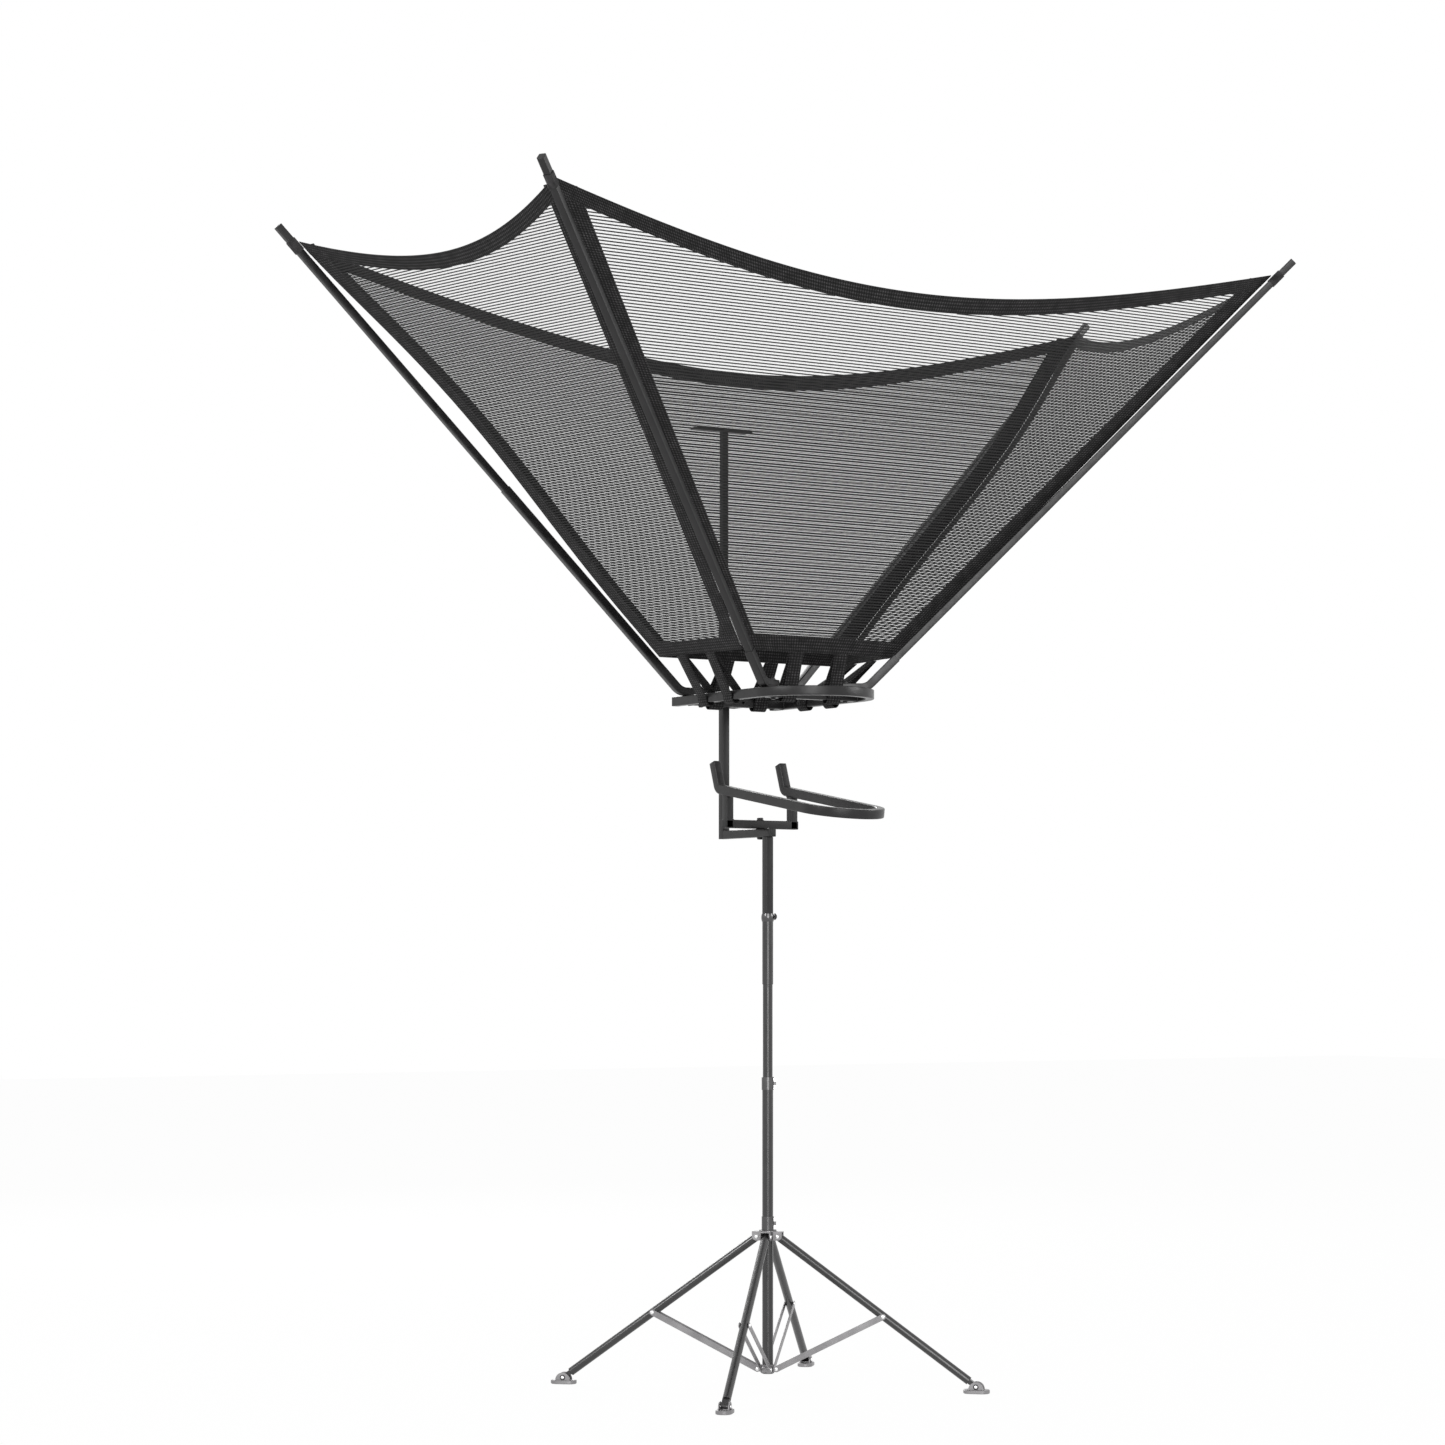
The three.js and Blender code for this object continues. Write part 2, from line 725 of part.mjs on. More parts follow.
function post() {
  piece('post_lower', postLower(), 'blackPaint');
  const outer = prism(postUpperSide, postUpperSide, squareCorner, postUpperBottom, hookPlateUnder - gap);
  const innerSide = postUpperSide - 2 * postUpperWall;
  const inner = prism(innerSide, innerSide, 0, postUpperBottom - overrun, hookPlateUnder - squareWall);
  const tube = cut(toSolid(outer), inner);
  piece('post_upper', tube, 'blackPaint').position.y = postBehindMast;
  const plate = prism(hookPlateLength, hookPlateDepth, hookPlateCorner, hookPlateUnder, hookPlateUnder + hookPlateThickness);
  piece('hook_plate', plate, 'blackPaint').position.y = hookPlateFront + hookPlateDepth / 2;
}

// Ring

function ringTube() {
  const corners = [
    [-ringHalfWidth, ringBackEnd, ringMiddleHeight],
    [-ringHalfWidth, ringFrontBar - ringHalfWidth, ringMiddleHeight],
    [ringHalfWidth, ringFrontBar - ringHalfWidth, ringMiddleHeight],
    [ringHalfWidth, ringBackEnd, ringMiddleHeight],
  ];
  const stations = bentPath(corners, ringHalfWidth, ringArcSteps / 2);
  const outer = toSolid(sweep(section(railHeight, railWidth, railCorner), uniqueStations(stations)));
  const boreShape = section(railHeight - 2 * railWall, railWidth - 2 * railWall);
  const inner = sweep(boreShape, drawnIn(uniqueStations(stations), tubeEndCap, tubeEndCap));
  const vent = rod(ventRadius, -ringHalfWidth, ringHalfWidth).rotateY(Math.PI / 2);
  return cut(outer, inner, moved(vent, 0, ringFrontBar, ringMiddleHeight));
}

// Two bends that meet leave a station twice, and a sweep needs each once
function uniqueStations(stations) {
  return stations.filter((now, i) => i === 0 || now.point.distanceTo(stations[i - 1].point) > gap);
}

function crossBar(endGap) {
  const half = ringInner - endGap;
  const bar = prism(railHeight, railWidth, railCorner, -half, half).rotateY(Math.PI / 2);
  const bore = prism(railHeight - 2 * railWall, railWidth - 2 * railWall, 0, -half - overrun, half + overrun);
  return cut(toSolid(bar), bore.rotateY(Math.PI / 2));
}

function boltHoles(y) {
  const hole = () => rod(armBoltRadius + pinHoleClear, -railHeight, railHeight);
  return [moved(hole(), -armBoltX, y, 0), moved(hole(), armBoltX, y, 0)];
}

function ring() {
  piece('ring_tube', ringTube(), 'blackPaint');
  const front = cut(crossBar(frontBarEndGap), ...boltHoles(0));
  piece('ring_front_bar', front, 'blackPaint').position.set(0, ringFrontBar, ringMiddleHeight);

  const reach = postBehindMast - squareHalf - ringBackBar - gap;
  const face = railWidth / 2 - railWall / 2;
  const bracket = box(-postBracketWidth / 2, postBracketWidth / 2, face, reach, -railHeight / 2, railHeight / 2);
  const uHalf = squareHalf + gap + uBoltRadius;
  const uHole = () => rod(uBoltRadius + pinHoleClear, -railWidth, reach + overrun).rotateX(-Math.PI / 2);
  const pocket = box(-uHalf - uBoltNutRadius - gap, uHalf + uBoltNutRadius + gap, railWidth / 2 + railWall, reach - railWall * 2, -railHeight, railHeight);
  const back = cut(crossBar(gap).add(toSolid(bracket)), pocket, ...boltHoles(0), moved(uHole(), -uHalf, 0, 0), moved(uHole(), uHalf, 0, 0));
  piece('ring_back_bar', back, 'blackPaint').position.set(0, ringBackBar, ringMiddleHeight);

  const rear = postBehindMast + squareHalf + gap + uBoltRadius;
  const nutFace = ringBackBar + reach - railWall * 2 - gap;
  const corners = [
    [-uHalf, nutFace - uBoltNutHeight - uBoltTail, ringMiddleHeight],
    [-uHalf, rear, ringMiddleHeight],
    [uHalf, rear, ringMiddleHeight],
    [uHalf, nutFace - uBoltNutHeight - uBoltTail, ringMiddleHeight],
  ];
  const circle = new THREE.Shape().absarc(0, 0, uBoltRadius, 0, 2 * Math.PI);
  const uShape = sweep(circle, bentPath(corners, uBoltRadius * 1.5, 3));
  const nut = () => hexRod(uBoltNutRadius, nutFace - uBoltNutHeight, nutFace).rotateX(-Math.PI / 2);
  const uBolt = joined(uShape, moved(nut(), -uHalf, 0, ringMiddleHeight), moved(nut(), uHalf, 0, ringMiddleHeight));
  piece('post_u_bolt', uBolt, 'greyZinc');
}

// Return chute

function chutePoint(x, y) {
  return [x, y, chuteHeightAtMast + y * Math.tan(chuteSlope)];
}

function chuteTube() {
  const [, bendY, bendZ] = chutePoint(0, chuteBendY);
  const stubY = bendY + chuteStubLength * Math.sin(chuteStubLean);
  const stubZ = bendZ + chuteStubLength * Math.cos(chuteStubLean);
  const x = chuteHalfWidth;
  const arcStart = chutePoint(-x, chuteArcCentre);
  const left = bentPath([[-x, stubY, stubZ], [-x, bendY, bendZ], arcStart], chuteBendRadius);
  const arc = [];
  const forward = new THREE.Vector3(0, -Math.cos(chuteSlope), -Math.sin(chuteSlope));
  const across = new THREE.Vector3(1, 0, 0);
  const centre = new THREE.Vector3(...chutePoint(0, chuteArcCentre));
  for (let i = 1; i < chuteArcSteps; i += 1) {
    const angle = (i * Math.PI) / chuteArcSteps;
    const point = centre.clone().addScaledVector(across, -x * Math.cos(angle)).addScaledVector(forward, x * Math.sin(angle));
    const tangent = across.clone().multiplyScalar(Math.sin(angle)).addScaledVector(forward, Math.cos(angle));
    arc.push({ point, tangent });
  }
  const right = left.map(({ point, tangent }) => ({
    point: point.clone().multiply(new THREE.Vector3(-1, 1, 1)),
    tangent: tangent.clone().multiply(new THREE.Vector3(1, -1, -1)),
  })).reverse();
  const stations = [...left, ...arc, ...right];
  const outer = toSolid(sweep(section(railWidth, railHeight, railCorner), stations));
  const boreShape = section(railWidth - 2 * railWall, railHeight - 2 * railWall);
  const inner = sweep(boreShape, drawnIn(stations, tubeEndCap, tubeEndCap));
  const vent = moved(rod(ventRadius, chuteHeightAtMast - railHeight, chuteHeightAtMast), -x, chutePivotY, 0);
  return cut(outer, inner, vent);
}

function chuteBracket() {
  const barBottom = lBarTop + gap;
  const half = uprightHalfSpan + squareHalf;
  const top = chuteHeightAtMast;
  const y = chutePivotY;
  const bore = 2 * squareBoreHalf;
  const across = moved(prism(squareSide, squareSide, squareCorner, -half, half).rotateY(Math.PI / 2), 0, y, barBottom + squareHalf);
  const acrossBore = prism(bore, bore, 0, -uprightHalfSpan, uprightHalfSpan).rotateY(Math.PI / 2);
  const shapes = [across];
  const bores = [moved(acrossBore, 0, y, barBottom + squareHalf)];
  for (const x of [-uprightHalfSpan, uprightHalfSpan]) {
    shapes.push(moved(prism(squareSide, squareSide, squareCorner, barBottom, top), x, y, 0));
    bores.push(moved(prism(bore, bore, 0, barBottom + squareWall, top + overrun), x, y, 0));
  }
  const lid = box(-2 * half, 2 * half, -2 * half, 2 * half, 0, 2 * half).rotateX(chuteSlope);
  const under = railHeight / 2 / Math.cos(chuteSlope) + gap;
  moved(lid, 0, 0, chuteHeightAtMast - under);
  const hole = moved(rod(pivotBoltRadius + pinHoleClear, barBottom - overrun, barBottom + squareSide + overrun), 0, y, 0);
  return cut(joined(...shapes), ...bores, lid, hole);
}

function chute() {
  piece('chute_tube', chuteTube(), 'blackPaint');
  piece('chute_bracket', chuteBracket(), 'blackPaint');
  const seat = lBarTop + gap + squareSide + gap;
  const bolt = joined(
    hexRod(pivotBoltHead, seat, seat + pivotBoltHeadHeight),
    rod(pivotBoltRadius, lBarBottom - gap - pivotNutHeight, seat + pivotBoltHeadHeight / 2),
    hexRod(pivotBoltHead - gap, lBarBottom - gap - pivotNutHeight, lBarBottom - gap),
  );
  piece('chute_pivot_bolt', bolt, 'greyZinc').position.y = chutePivotY;
}

// Arms. Each is laid out in a frame of its own: X runs outward over the floor, and the elbow
// where the horizontal foot turns upward is the origin.

function armLayout(tipX, tipY, barY, elbowPastBolt) {
  const plan = new THREE.Vector2(tipX - armBoltX, tipY - barY);
  const run = plan.length() - elbowPastBolt;
  const rise = tipHeight - armBaseHeight;
  const outward = plan.clone().normalize();
  const elbow = new THREE.Vector2(tipX, tipY).addScaledVector(outward, -run);
  return { outward, elbow, slope: Math.atan2(rise, run), reach: Math.hypot(run, rise), elbowPastBolt };
}

function armPoint({ slope }, along) {
  return [along * Math.cos(slope), 0, along * Math.sin(slope)];
}

function armLower(layout, lowerReach) {
  const foot = layout.elbowPastBolt + armFootPastBolt;
  const stations = bentPath([[-foot, 0, 0], [0, 0, 0], armPoint(layout, lowerReach)], armBendRadius);
  const outer = toSolid(sweep(section(armLowerSide, armLowerSide, squareCorner), stations));
  const bore = armLowerSide - 2 * armWall;
  const inner = sweep(section(bore, bore), drawnIn(stations, tubeEndCap, -overrun));
  const hole = rod(armBoltRadius + pinHoleClear, -armLowerSide, armLowerSide);
  return cut(outer, inner, moved(hole, -layout.elbowPastBolt, 0, 0));
}

function armUpper(layout, lowerReach, insert) {
  const path = bentPath([armPoint(layout, lowerReach - insert), armPoint(layout, layout.reach)], 0);
  const outer = toSolid(sweep(section(armUpperSide, armUpperSide, squareCorner), path));
  const bore = armUpperSide - 2 * armUpperWall;
  return cut(outer, sweep(section(bore, bore), drawnIn(path, -overrun, armTipCap)));
}

function armBolt() {
  const under = railBottom - gap - armBaseHeight;
  const over = armLowerSide / 2 + gap;
  return joined(
    hexRod(armBoltHead, over, over + armBoltHeadHeight),
    rod(armBoltRadius, under - armBoltHeadHeight, over + armBoltHeadHeight / 2),
    hexRod(armBoltHead, under - armBoltHeadHeight, under),
  );
}

function cornerLoop(layout) {
  const inner = armUpperSide + 2 * cornerLoopClear;
  const outer = inner + 2 * cornerLoopWall;
  const middle = layout.reach - cornerLoopFromTip;
  const half = cornerLoopLength / 2;
  const path = (extra) => bentPath([armPoint(layout, middle - half - extra), armPoint(layout, middle + half + extra)], 0);
  const sleeve = toSolid(sweep(section(outer, outer, squareCorner + cornerLoopWall), path(0)));
  return cut(sleeve, sweep(section(inner, inner, squareCorner), path(overrun)));
}

function arms() {
  const rows = [
    ['back', armLayout(backTipX, backTipY, ringBackBar, backElbowPastBolt), backArmLowerReach, armInsert],
    ['front', armLayout(frontTipX, frontTipY, ringFrontBar, frontElbowPastBolt), frontArmLowerReach, armFrontInsert],
  ];
  for (const [row, layout, lowerReach, insert] of rows) {
    const lower = armLower(layout, lowerReach);
    const upper = armUpper(layout, lowerReach, insert);
    const loop = cornerLoop(layout);
    for (const [side, sign] of [['left', -1], ['right', 1]]) {
      const frame = new THREE.Group();
      frame.position.set(sign * layout.elbow.x, layout.elbow.y, armBaseHeight);
      frame.rotation.z = Math.atan2(layout.outward.y, sign * layout.outward.x);
      part.add(frame);
      piece(`arm_lower_${row}_${side}`, lower, 'blackPaint', frame);
      piece(`arm_upper_${row}_${side}`, upper, 'blackPaint', frame);
      piece(`arm_bolt_${row}_${side}`, armBolt(), 'greyZinc', frame).position.x = -layout.elbowPastBolt;
      piece(`corner_loop_${row}_${side}`, loop, 'webbing', frame);
    }
  }
}

// Net: four flat panels, each a border round a grid of holes

function netCorner(layout, tipX, tipY, sign, inwards, forwards) {
  const back = netTopDrop / Math.tan(layout.slope) + inwards;
  const x = tipX - back * layout.outward.x;
  const y = tipY - back * layout.outward.y - forwards;
  return new THREE.Vector3(sign * x, y, tipHeight - netTopDrop);
}

// Breaks along a stretch: a border, then holes with strands between them, then a border
function gridBreaks(length, border, holes) {
  const hole = (length - 2 * border - (holes - 1) * strandWidth) / holes;
  const breaks = [0, border];
  for (let i = 0; i < holes; i += 1) {
    const start = border + i * (hole + strandWidth);
    if (i > 0) breaks.push(start);
    breaks.push(start + hole);
  }
  breaks.push(length);
  return breaks;
}

// A panel from its four corners: hem left, hem right, top right, top left, seen from outside
function netPanel([hemLeft, hemRight, topRight, topLeft], sag, holes) {
  const across = hemRight.clone().sub(hemLeft).normalize();
  const edge = topLeft.clone().sub(hemLeft);
  const slant = edge.angleTo(across);
  const sideBorder = borderWidth / Math.sin(slant);
  const normal = across.clone().cross(edge).normalize().multiplyScalar(netThickness / 2);
  const at = (hem, top, share) => {
    const whole = top.clone().sub(hem);
    const dip = (sag * 4 * share * (1 - share)) / whole.z;
    return { hem, along: whole.clone().normalize(), length: whole.length() * (1 - dip) };
  };
  const columns = 2 * holes + 2;
  const rows = 2 * holeRows + 2;
  const hemWidth = hemLeft.distanceTo(hemRight) - 2 * seamInset;
  const topWidth = topLeft.distanceTo(topRight) - 2 * seamInset;
  const points = [];
  for (let j = 0; j < rows; j += 1) {
    const height = j / (rows - 1);
    const width = hemWidth + (topWidth - hemWidth) * height;
    const places = gridBreaks(width, sideBorder, holes);
    for (let i = 0; i < columns; i += 1) {
      const share = (places[i] + seamInset) / (width + 2 * seamInset);
      const column = at(hemLeft.clone().lerp(hemRight, share), topLeft.clone().lerp(topRight, share), share);
      const up = gridBreaks(column.length, borderWidth, holeRows)[j];
      points.push(column.hem.clone().addScaledVector(column.along, up));
    }
  }
  const front = points.map((point) => point.clone().add(normal));
  const back = points.map((point) => point.clone().sub(normal));
  return gridSolid(front, back, columns, rows);
}

// Closes a grid of points into a sheet, leaving out the cell between each pair of odd lines
function gridSolid(front, back, columns, rows) {
  const positions = [...front, ...back].flatMap((point) => point.toArray());
  const far = front.length;
  const index = [];
  const id = (i, j) => j * columns + i;
  const isHole = (i, j) => i % 2 === 1 && j % 2 === 1;
  const solidCell = (i, j) => i >= 0 && j >= 0 && i < columns - 1 && j < rows - 1 && !isHole(i, j);
  const quad = (a, b, c, d) => index.push(a, b, c, a, c, d);
  for (let j = 0; j < rows - 1; j += 1) {
    for (let i = 0; i < columns - 1; i += 1) {
      if (!solidCell(i, j)) continue;
      const [a, b, c, d] = [id(i, j), id(i + 1, j), id(i + 1, j + 1), id(i, j + 1)];
      quad(a, b, c, d);
      quad(far + d, far + c, far + b, far + a);
      if (!solidCell(i, j - 1)) quad(b, a, far + a, far + b);
      if (!solidCell(i + 1, j)) quad(c, b, far + b, far + c);
      if (!solidCell(i, j + 1)) quad(d, c, far + c, far + d);
      if (!solidCell(i - 1, j)) quad(a, d, far + d, far + a);
    }
  }
  const geometry = new THREE.BufferGeometry();
  geometry.setAttribute('position', new THREE.BufferAttribute(new Float32Array(positions), 3));
  geometry.setIndex(index);
  return geometry;
}

function net() {
  const backLayout = armLayout(backTipX, backTipY, ringBackBar, backElbowPastBolt);
  const frontLayout = armLayout(frontTipX, frontTipY, ringFrontBar, frontElbowPastBolt);
  const back = (sign) => netCorner(backLayout, backTipX, backTipY, sign, netBackInwards, netBackForwards);
  const front = (sign) => netCorner(frontLayout, frontTipX, frontTipY, sign, netFrontInwards, 0);
  const hemBack = (sign) => new THREE.Vector3(sign * hemBackX, hemBackY, hemHeight);
  const hemFront = (sign) => new THREE.Vector3(sign * hemFrontX, hemFrontY, hemHeight);
  piece('net_front', netPanel([hemFront(-1), hemFront(1), front(1), front(-1)], frontSag, wideHoles), 'mesh');
  piece('net_back', netPanel([hemBack(1), hemBack(-1), back(-1), back(1)], backSag, wideHoles), 'mesh');
  piece('net_left', netPanel([hemBack(-1), hemFront(-1), front(-1), back(-1)], sideSag, sideHoles), 'mesh');
  piece('net_right', netPanel([hemFront(1), hemBack(1), back(1), front(1)], sideSag, sideHoles), 'mesh');
}

// Straps. The loop lies in the plane across its rail: first number outward from the rail, second up.
function strapLoop(hemOut, hemUp) {
  const path = [[hemOut + strapSplit / 2, hemUp]];
  for (let i = 0; i <= strapLoopSteps; i += 1) {
    const angle = (i * Math.PI) / strapLoopSteps;
    path.push([strapLoopHalf * Math.cos(angle), -strapLoopDrop * Math.sin(angle)]);
  }
  const over = railHeight / 2 + strapOverRail;
  if (hemOut > 0) path.push([strapOverRail - strapLoopHalf, over]);
  if (hemOut < 0) path.splice(1, 0, [strapLoopHalf - strapOverRail, over]);
  path.push([hemOut - strapSplit / 2, hemUp]);
  return path;
}

// A ribbon along its loop path: width runs along the rail, which shifts it evenly with height
function strap(railPoint, outDirection, hemPoint) {
  const out = new THREE.Vector3(...outDirection);
  const rail = new THREE.Vector3(...railPoint);
  const along = new THREE.Vector3(-out.y, out.x, 0);
  const toHem = new THREE.Vector3(...hemPoint).sub(rail);
  const hemUp = toHem.z;
  const path = strapLoop(toHem.dot(out), hemUp);
  const shift = toHem.dot(along);
  const count = path.length;
  const side = (i) => {
    const [x0, z0] = path[Math.max(i - 1, 0)];
    const [x1, z1] = path[Math.min(i + 1, count - 1)];
    const length = Math.hypot(x1 - x0, z1 - z0);
    return [(-(z1 - z0) / length) * (strapThickness / 2), ((x1 - x0) / length) * (strapThickness / 2)];
  };
  const positions = [];
  for (let i = 0; i < count; i += 1) {
    const [x, z] = path[i];
    const [nx, nz] = i === 0 || i === count - 1 ? [strapThickness / 2 * (i === 0 ? 1 : -1), 0] : side(i);
    const lift = Math.max(z, 0) / hemUp;
    for (const [sx, sw] of [[1, -1], [1, 1], [-1, 1], [-1, -1]]) {
      const point = rail.clone().addScaledVector(out, x + sx * nx).addScaledVector(along, shift * lift + (sw * strapWidth) / 2);
      point.z += z + sx * nz;
      positions.push(...point.toArray());
    }
  }
  const index = [0, 1, 2, 0, 2, 3];
  const end = 4 * (count - 1);
  index.push(end, end + 2, end + 1, end, end + 3, end + 2);
  for (let i = 0; i < count - 1; i += 1) {
    for (let k = 0; k < 4; k += 1) {
      const a = 4 * i + k;
      const b = 4 * i + ((k + 1) % 4);
      index.push(a, a + 4, b + 4, a, b + 4, b);
    }
  }
  const geometry = new THREE.BufferGeometry();
  geometry.setAttribute('position', new THREE.BufferAttribute(new Float32Array(positions), 3));
  geometry.setIndex(index);
  return outwardFacing(geometry);
}

// Turns every face round when the solid's signed volume comes out negative
function outwardFacing(geometry) {
  const { array } = geometry.attributes.position;
  const order = geometry.index.array;
  const corner = (i) => new THREE.Vector3().fromArray(array, 3 * order[i]);
  let volume = 0;
  for (let i = 0; i < order.length; i += 3) {
    volume += corner(i).dot(corner(i + 1).cross(corner(i + 2)));
  }
  if (volume < 0) geometry.setIndex([...order].reverse());
  return geometry;
}

function straps() {
  const z = ringMiddleHeight;
  const rise = tipHeight - netTopDrop - hemHeight;
  const hemUnder = (run) => hemHeight - (netThickness / 2) * Math.sin(Math.atan2(run, rise)) - gap;
  const frontUnder = hemUnder(hemFrontY - frontTipY);
  const backUnder = hemUnder(backTipY - hemBackY);
  const sideUnder = hemUnder(backTipX - hemBackX);
  for (const [side, sign] of [['left', -1], ['right', 1]]) {
    const frontStrap = strap([sign * strapOnBar, ringFrontBar, z], [0, -1, 0], [sign * strapOnBar, hemFrontY, frontUnder]);
    piece(`strap_front_${side}`, frontStrap, 'webbing');
    const backStrap = strap([sign * strapOnBar, ringBackBar, z], [0, 1, 0], [sign * strapOnBar, hemBackY, backUnder]);
    piece(`strap_back_${side}`, backStrap, 'webbing');
    strapHemShares.forEach((share, i) => {
      const hemX = hemBackX + (hemFrontX - hemBackX) * share;
      const hemY = hemBackY + (hemFrontY - hemBackY) * share;
      const rail = [sign * ringHalfWidth, strapOnSide[i], z];
      piece(`strap_${side}_${i + 1}`, strap(rail, [sign, 0, 0], [sign * hemX, hemY, sideUnder]), 'webbing');
    });
  }
}

mast();
collars();
stand();
post();
ring();
chute();
arms();
net();
straps();

// The row's origin is the middle of the bottom of the bounding box
part.updateMatrixWorld(true);
const bounds = new THREE.Box3().setFromObject(part, true);
const middle = bounds.getCenter(new THREE.Vector3());
part.position.set(-middle.x, -middle.y, -bounds.min.z);

export default part;
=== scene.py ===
"""The basketball return attachment's looks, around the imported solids: smooth tubes, a fine net with
woven borders, webbing straps, rivets, bolts and studio light. Sizes are millimetres from the mast's
foot, as in the part's source, and mm() takes them to the frame's metres."""

import json
import math

import bpy
from mathutils import Matrix, Vector


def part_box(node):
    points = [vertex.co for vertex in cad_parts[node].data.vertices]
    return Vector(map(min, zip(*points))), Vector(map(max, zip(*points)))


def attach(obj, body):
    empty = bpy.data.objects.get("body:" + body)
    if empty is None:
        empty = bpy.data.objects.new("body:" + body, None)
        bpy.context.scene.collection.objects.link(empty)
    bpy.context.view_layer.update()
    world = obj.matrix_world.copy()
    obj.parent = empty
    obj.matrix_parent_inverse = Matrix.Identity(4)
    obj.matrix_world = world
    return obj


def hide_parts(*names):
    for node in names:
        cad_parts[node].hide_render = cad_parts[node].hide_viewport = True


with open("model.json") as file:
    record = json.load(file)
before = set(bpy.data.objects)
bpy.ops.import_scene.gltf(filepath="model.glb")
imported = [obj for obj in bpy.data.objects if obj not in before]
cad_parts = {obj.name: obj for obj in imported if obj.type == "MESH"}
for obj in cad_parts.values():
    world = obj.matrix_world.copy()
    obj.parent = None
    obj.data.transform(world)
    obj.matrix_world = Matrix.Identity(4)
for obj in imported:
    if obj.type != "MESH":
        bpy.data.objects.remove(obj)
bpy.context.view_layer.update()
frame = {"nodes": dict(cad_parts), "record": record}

MAST_Y = sum(corner[1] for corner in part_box("lower_tube")) / 2


def mm(x, y, z):
    """A place in millimetres from the mast's foot, as a point in the frame."""
    return Vector((x / 1000, y / 1000 + MAST_Y, z / 1000))


# Camera: solved from the photograph, with its size, focal length and horizon in the photograph's pixels

PHOTO_SIZE, FOCAL_LENGTH, HORIZON_ROW = 1445, 3645.9, 966.6
CAMERA_PLACE, CAMERA_HEADING = (-6154.1, -9151.7, 1275.8), -0.5796
SENSOR = 36
camera_data = bpy.data.cameras.new("camera")
camera_data.sensor_width = SENSOR
camera_data.lens = SENSOR * FOCAL_LENGTH / PHOTO_SIZE
camera_data.shift_y = (HORIZON_ROW - PHOTO_SIZE / 2) / PHOTO_SIZE
camera_data.clip_end = 60
camera = bpy.data.objects.new("camera", camera_data)
camera.location = mm(*CAMERA_PLACE)
camera.rotation_euler = (math.pi / 2, 0, CAMERA_HEADING)
bpy.context.scene.collection.objects.link(camera)
bpy.context.scene.camera = camera


# Node helpers


def new_material(name):
    material = bpy.data.materials.new(name)
    material.use_nodes = True
    tree = material.node_tree
    return material, tree, tree.nodes["Principled BSDF"]


def add(tree, kind, **settings):
    node = tree.nodes.new(kind)
    for key, value in settings.items():
        if key in node.inputs:
            node.inputs[key].default_value = value
        else:
            setattr(node, key, value)
    return node


def ramp(tree, source, stops):
    node = tree.nodes.new("ShaderNodeValToRGB")
    elements = node.color_ramp.elements
    while len(elements) < len(stops):
        elements.new(0.5)
    for element, (place, value) in zip(elements, stops):
        element.position = place
        element.color = (*value, 1) if hasattr(value, "__len__") else (value, value, value, 1)
    tree.links.new(source, node.inputs[0])
    return node.outputs[0]


def sums(tree, operation, *values):
    """One step of arithmetic on numbers and other nodes' outputs."""
    node = add(tree, "ShaderNodeMath", operation=operation)
    for socket, value in zip(node.inputs, values):
        if isinstance(value, (int, float)):
            socket.default_value = value
        else:
            tree.links.new(value, socket)
    return node.outputs[0]


def bump(tree, shader, height, distance, strength):
    node = add(tree, "ShaderNodeBump", Strength=strength, Distance=distance)
    tree.links.new(height, node.inputs["Height"])
    tree.links.new(node.outputs[0], shader.inputs["Normal"])


def noise(tree, scale, detail):
    node = add(tree, "ShaderNodeTexNoise", Scale=scale, Detail=detail)
    coords = add(tree, "ShaderNodeTexCoord")
    tree.links.new(coords.outputs["Object"], node.inputs["Vector"])
    return node.outputs["Fac"]


def coated_metal(name, low, high, roughness, grain, metallic=0.0, specular=0.5):
    """Paint or plating: a mottled tone, uneven gloss and a fine orange peel."""
    material, tree, shader = new_material(name)
    shader.inputs["Metallic"].default_value = metallic
    shader.inputs["Specular IOR Level"].default_value = specular
    broad = noise(tree, 14, 4)
    tree.links.new(ramp(tree, broad, [(0.3, low), (0.7, high)]), shader.inputs["Base Color"])
    tree.links.new(ramp(tree, noise(tree, 45, 3), [(0.3, roughness - 0.06), (0.7, roughness + 0.07)]),
                   shader.inputs["Roughness"])
    bump(tree, shader, noise(tree, grain, 2), 0.0002, 0.35)
    return material


PAINT = coated_metal("black_paint", (0.0065, 0.0062, 0.0065), (0.011, 0.0105, 0.011), 0.34, 900,
                     specular=0.38)
GLOSS = coated_metal("gloss_paint", (0.008, 0.0077, 0.008), (0.014, 0.0135, 0.014), 0.26, 700,
                     specular=0.75)
COLLAR = coated_metal("burnished_collar", (0.085, 0.084, 0.085), (0.13, 0.129, 0.13), 0.24, 600, 0.95)
ZINC = coated_metal("grey_zinc", (0.22, 0.215, 0.22), (0.31, 0.305, 0.31), 0.42, 500, 0.85)
BRIGHT = coated_metal("bright_steel", (0.78, 0.78, 0.78), (0.9, 0.9, 0.9), 0.26, 700, 0.9)
DARK = coated_metal("dark_bolt", (0.03, 0.029, 0.03), (0.06, 0.059, 0.06), 0.34, 600, 0.8)
PLASTIC = coated_metal("black_plastic", (0.006, 0.006, 0.006), (0.011, 0.011, 0.011), 0.55, 1400,
                       specular=0.4)
BORDER = 50
KNUCKLE_ALONG, KNUCKLE_ACROSS, YARN = 0.0085, 0.0100, 0.0009
STITCH_FROM_EDGE, STITCH_HALF, STITCH_PITCH, STITCH_LENGTH = 0.005, 0.0006, 0.004, 0.0027


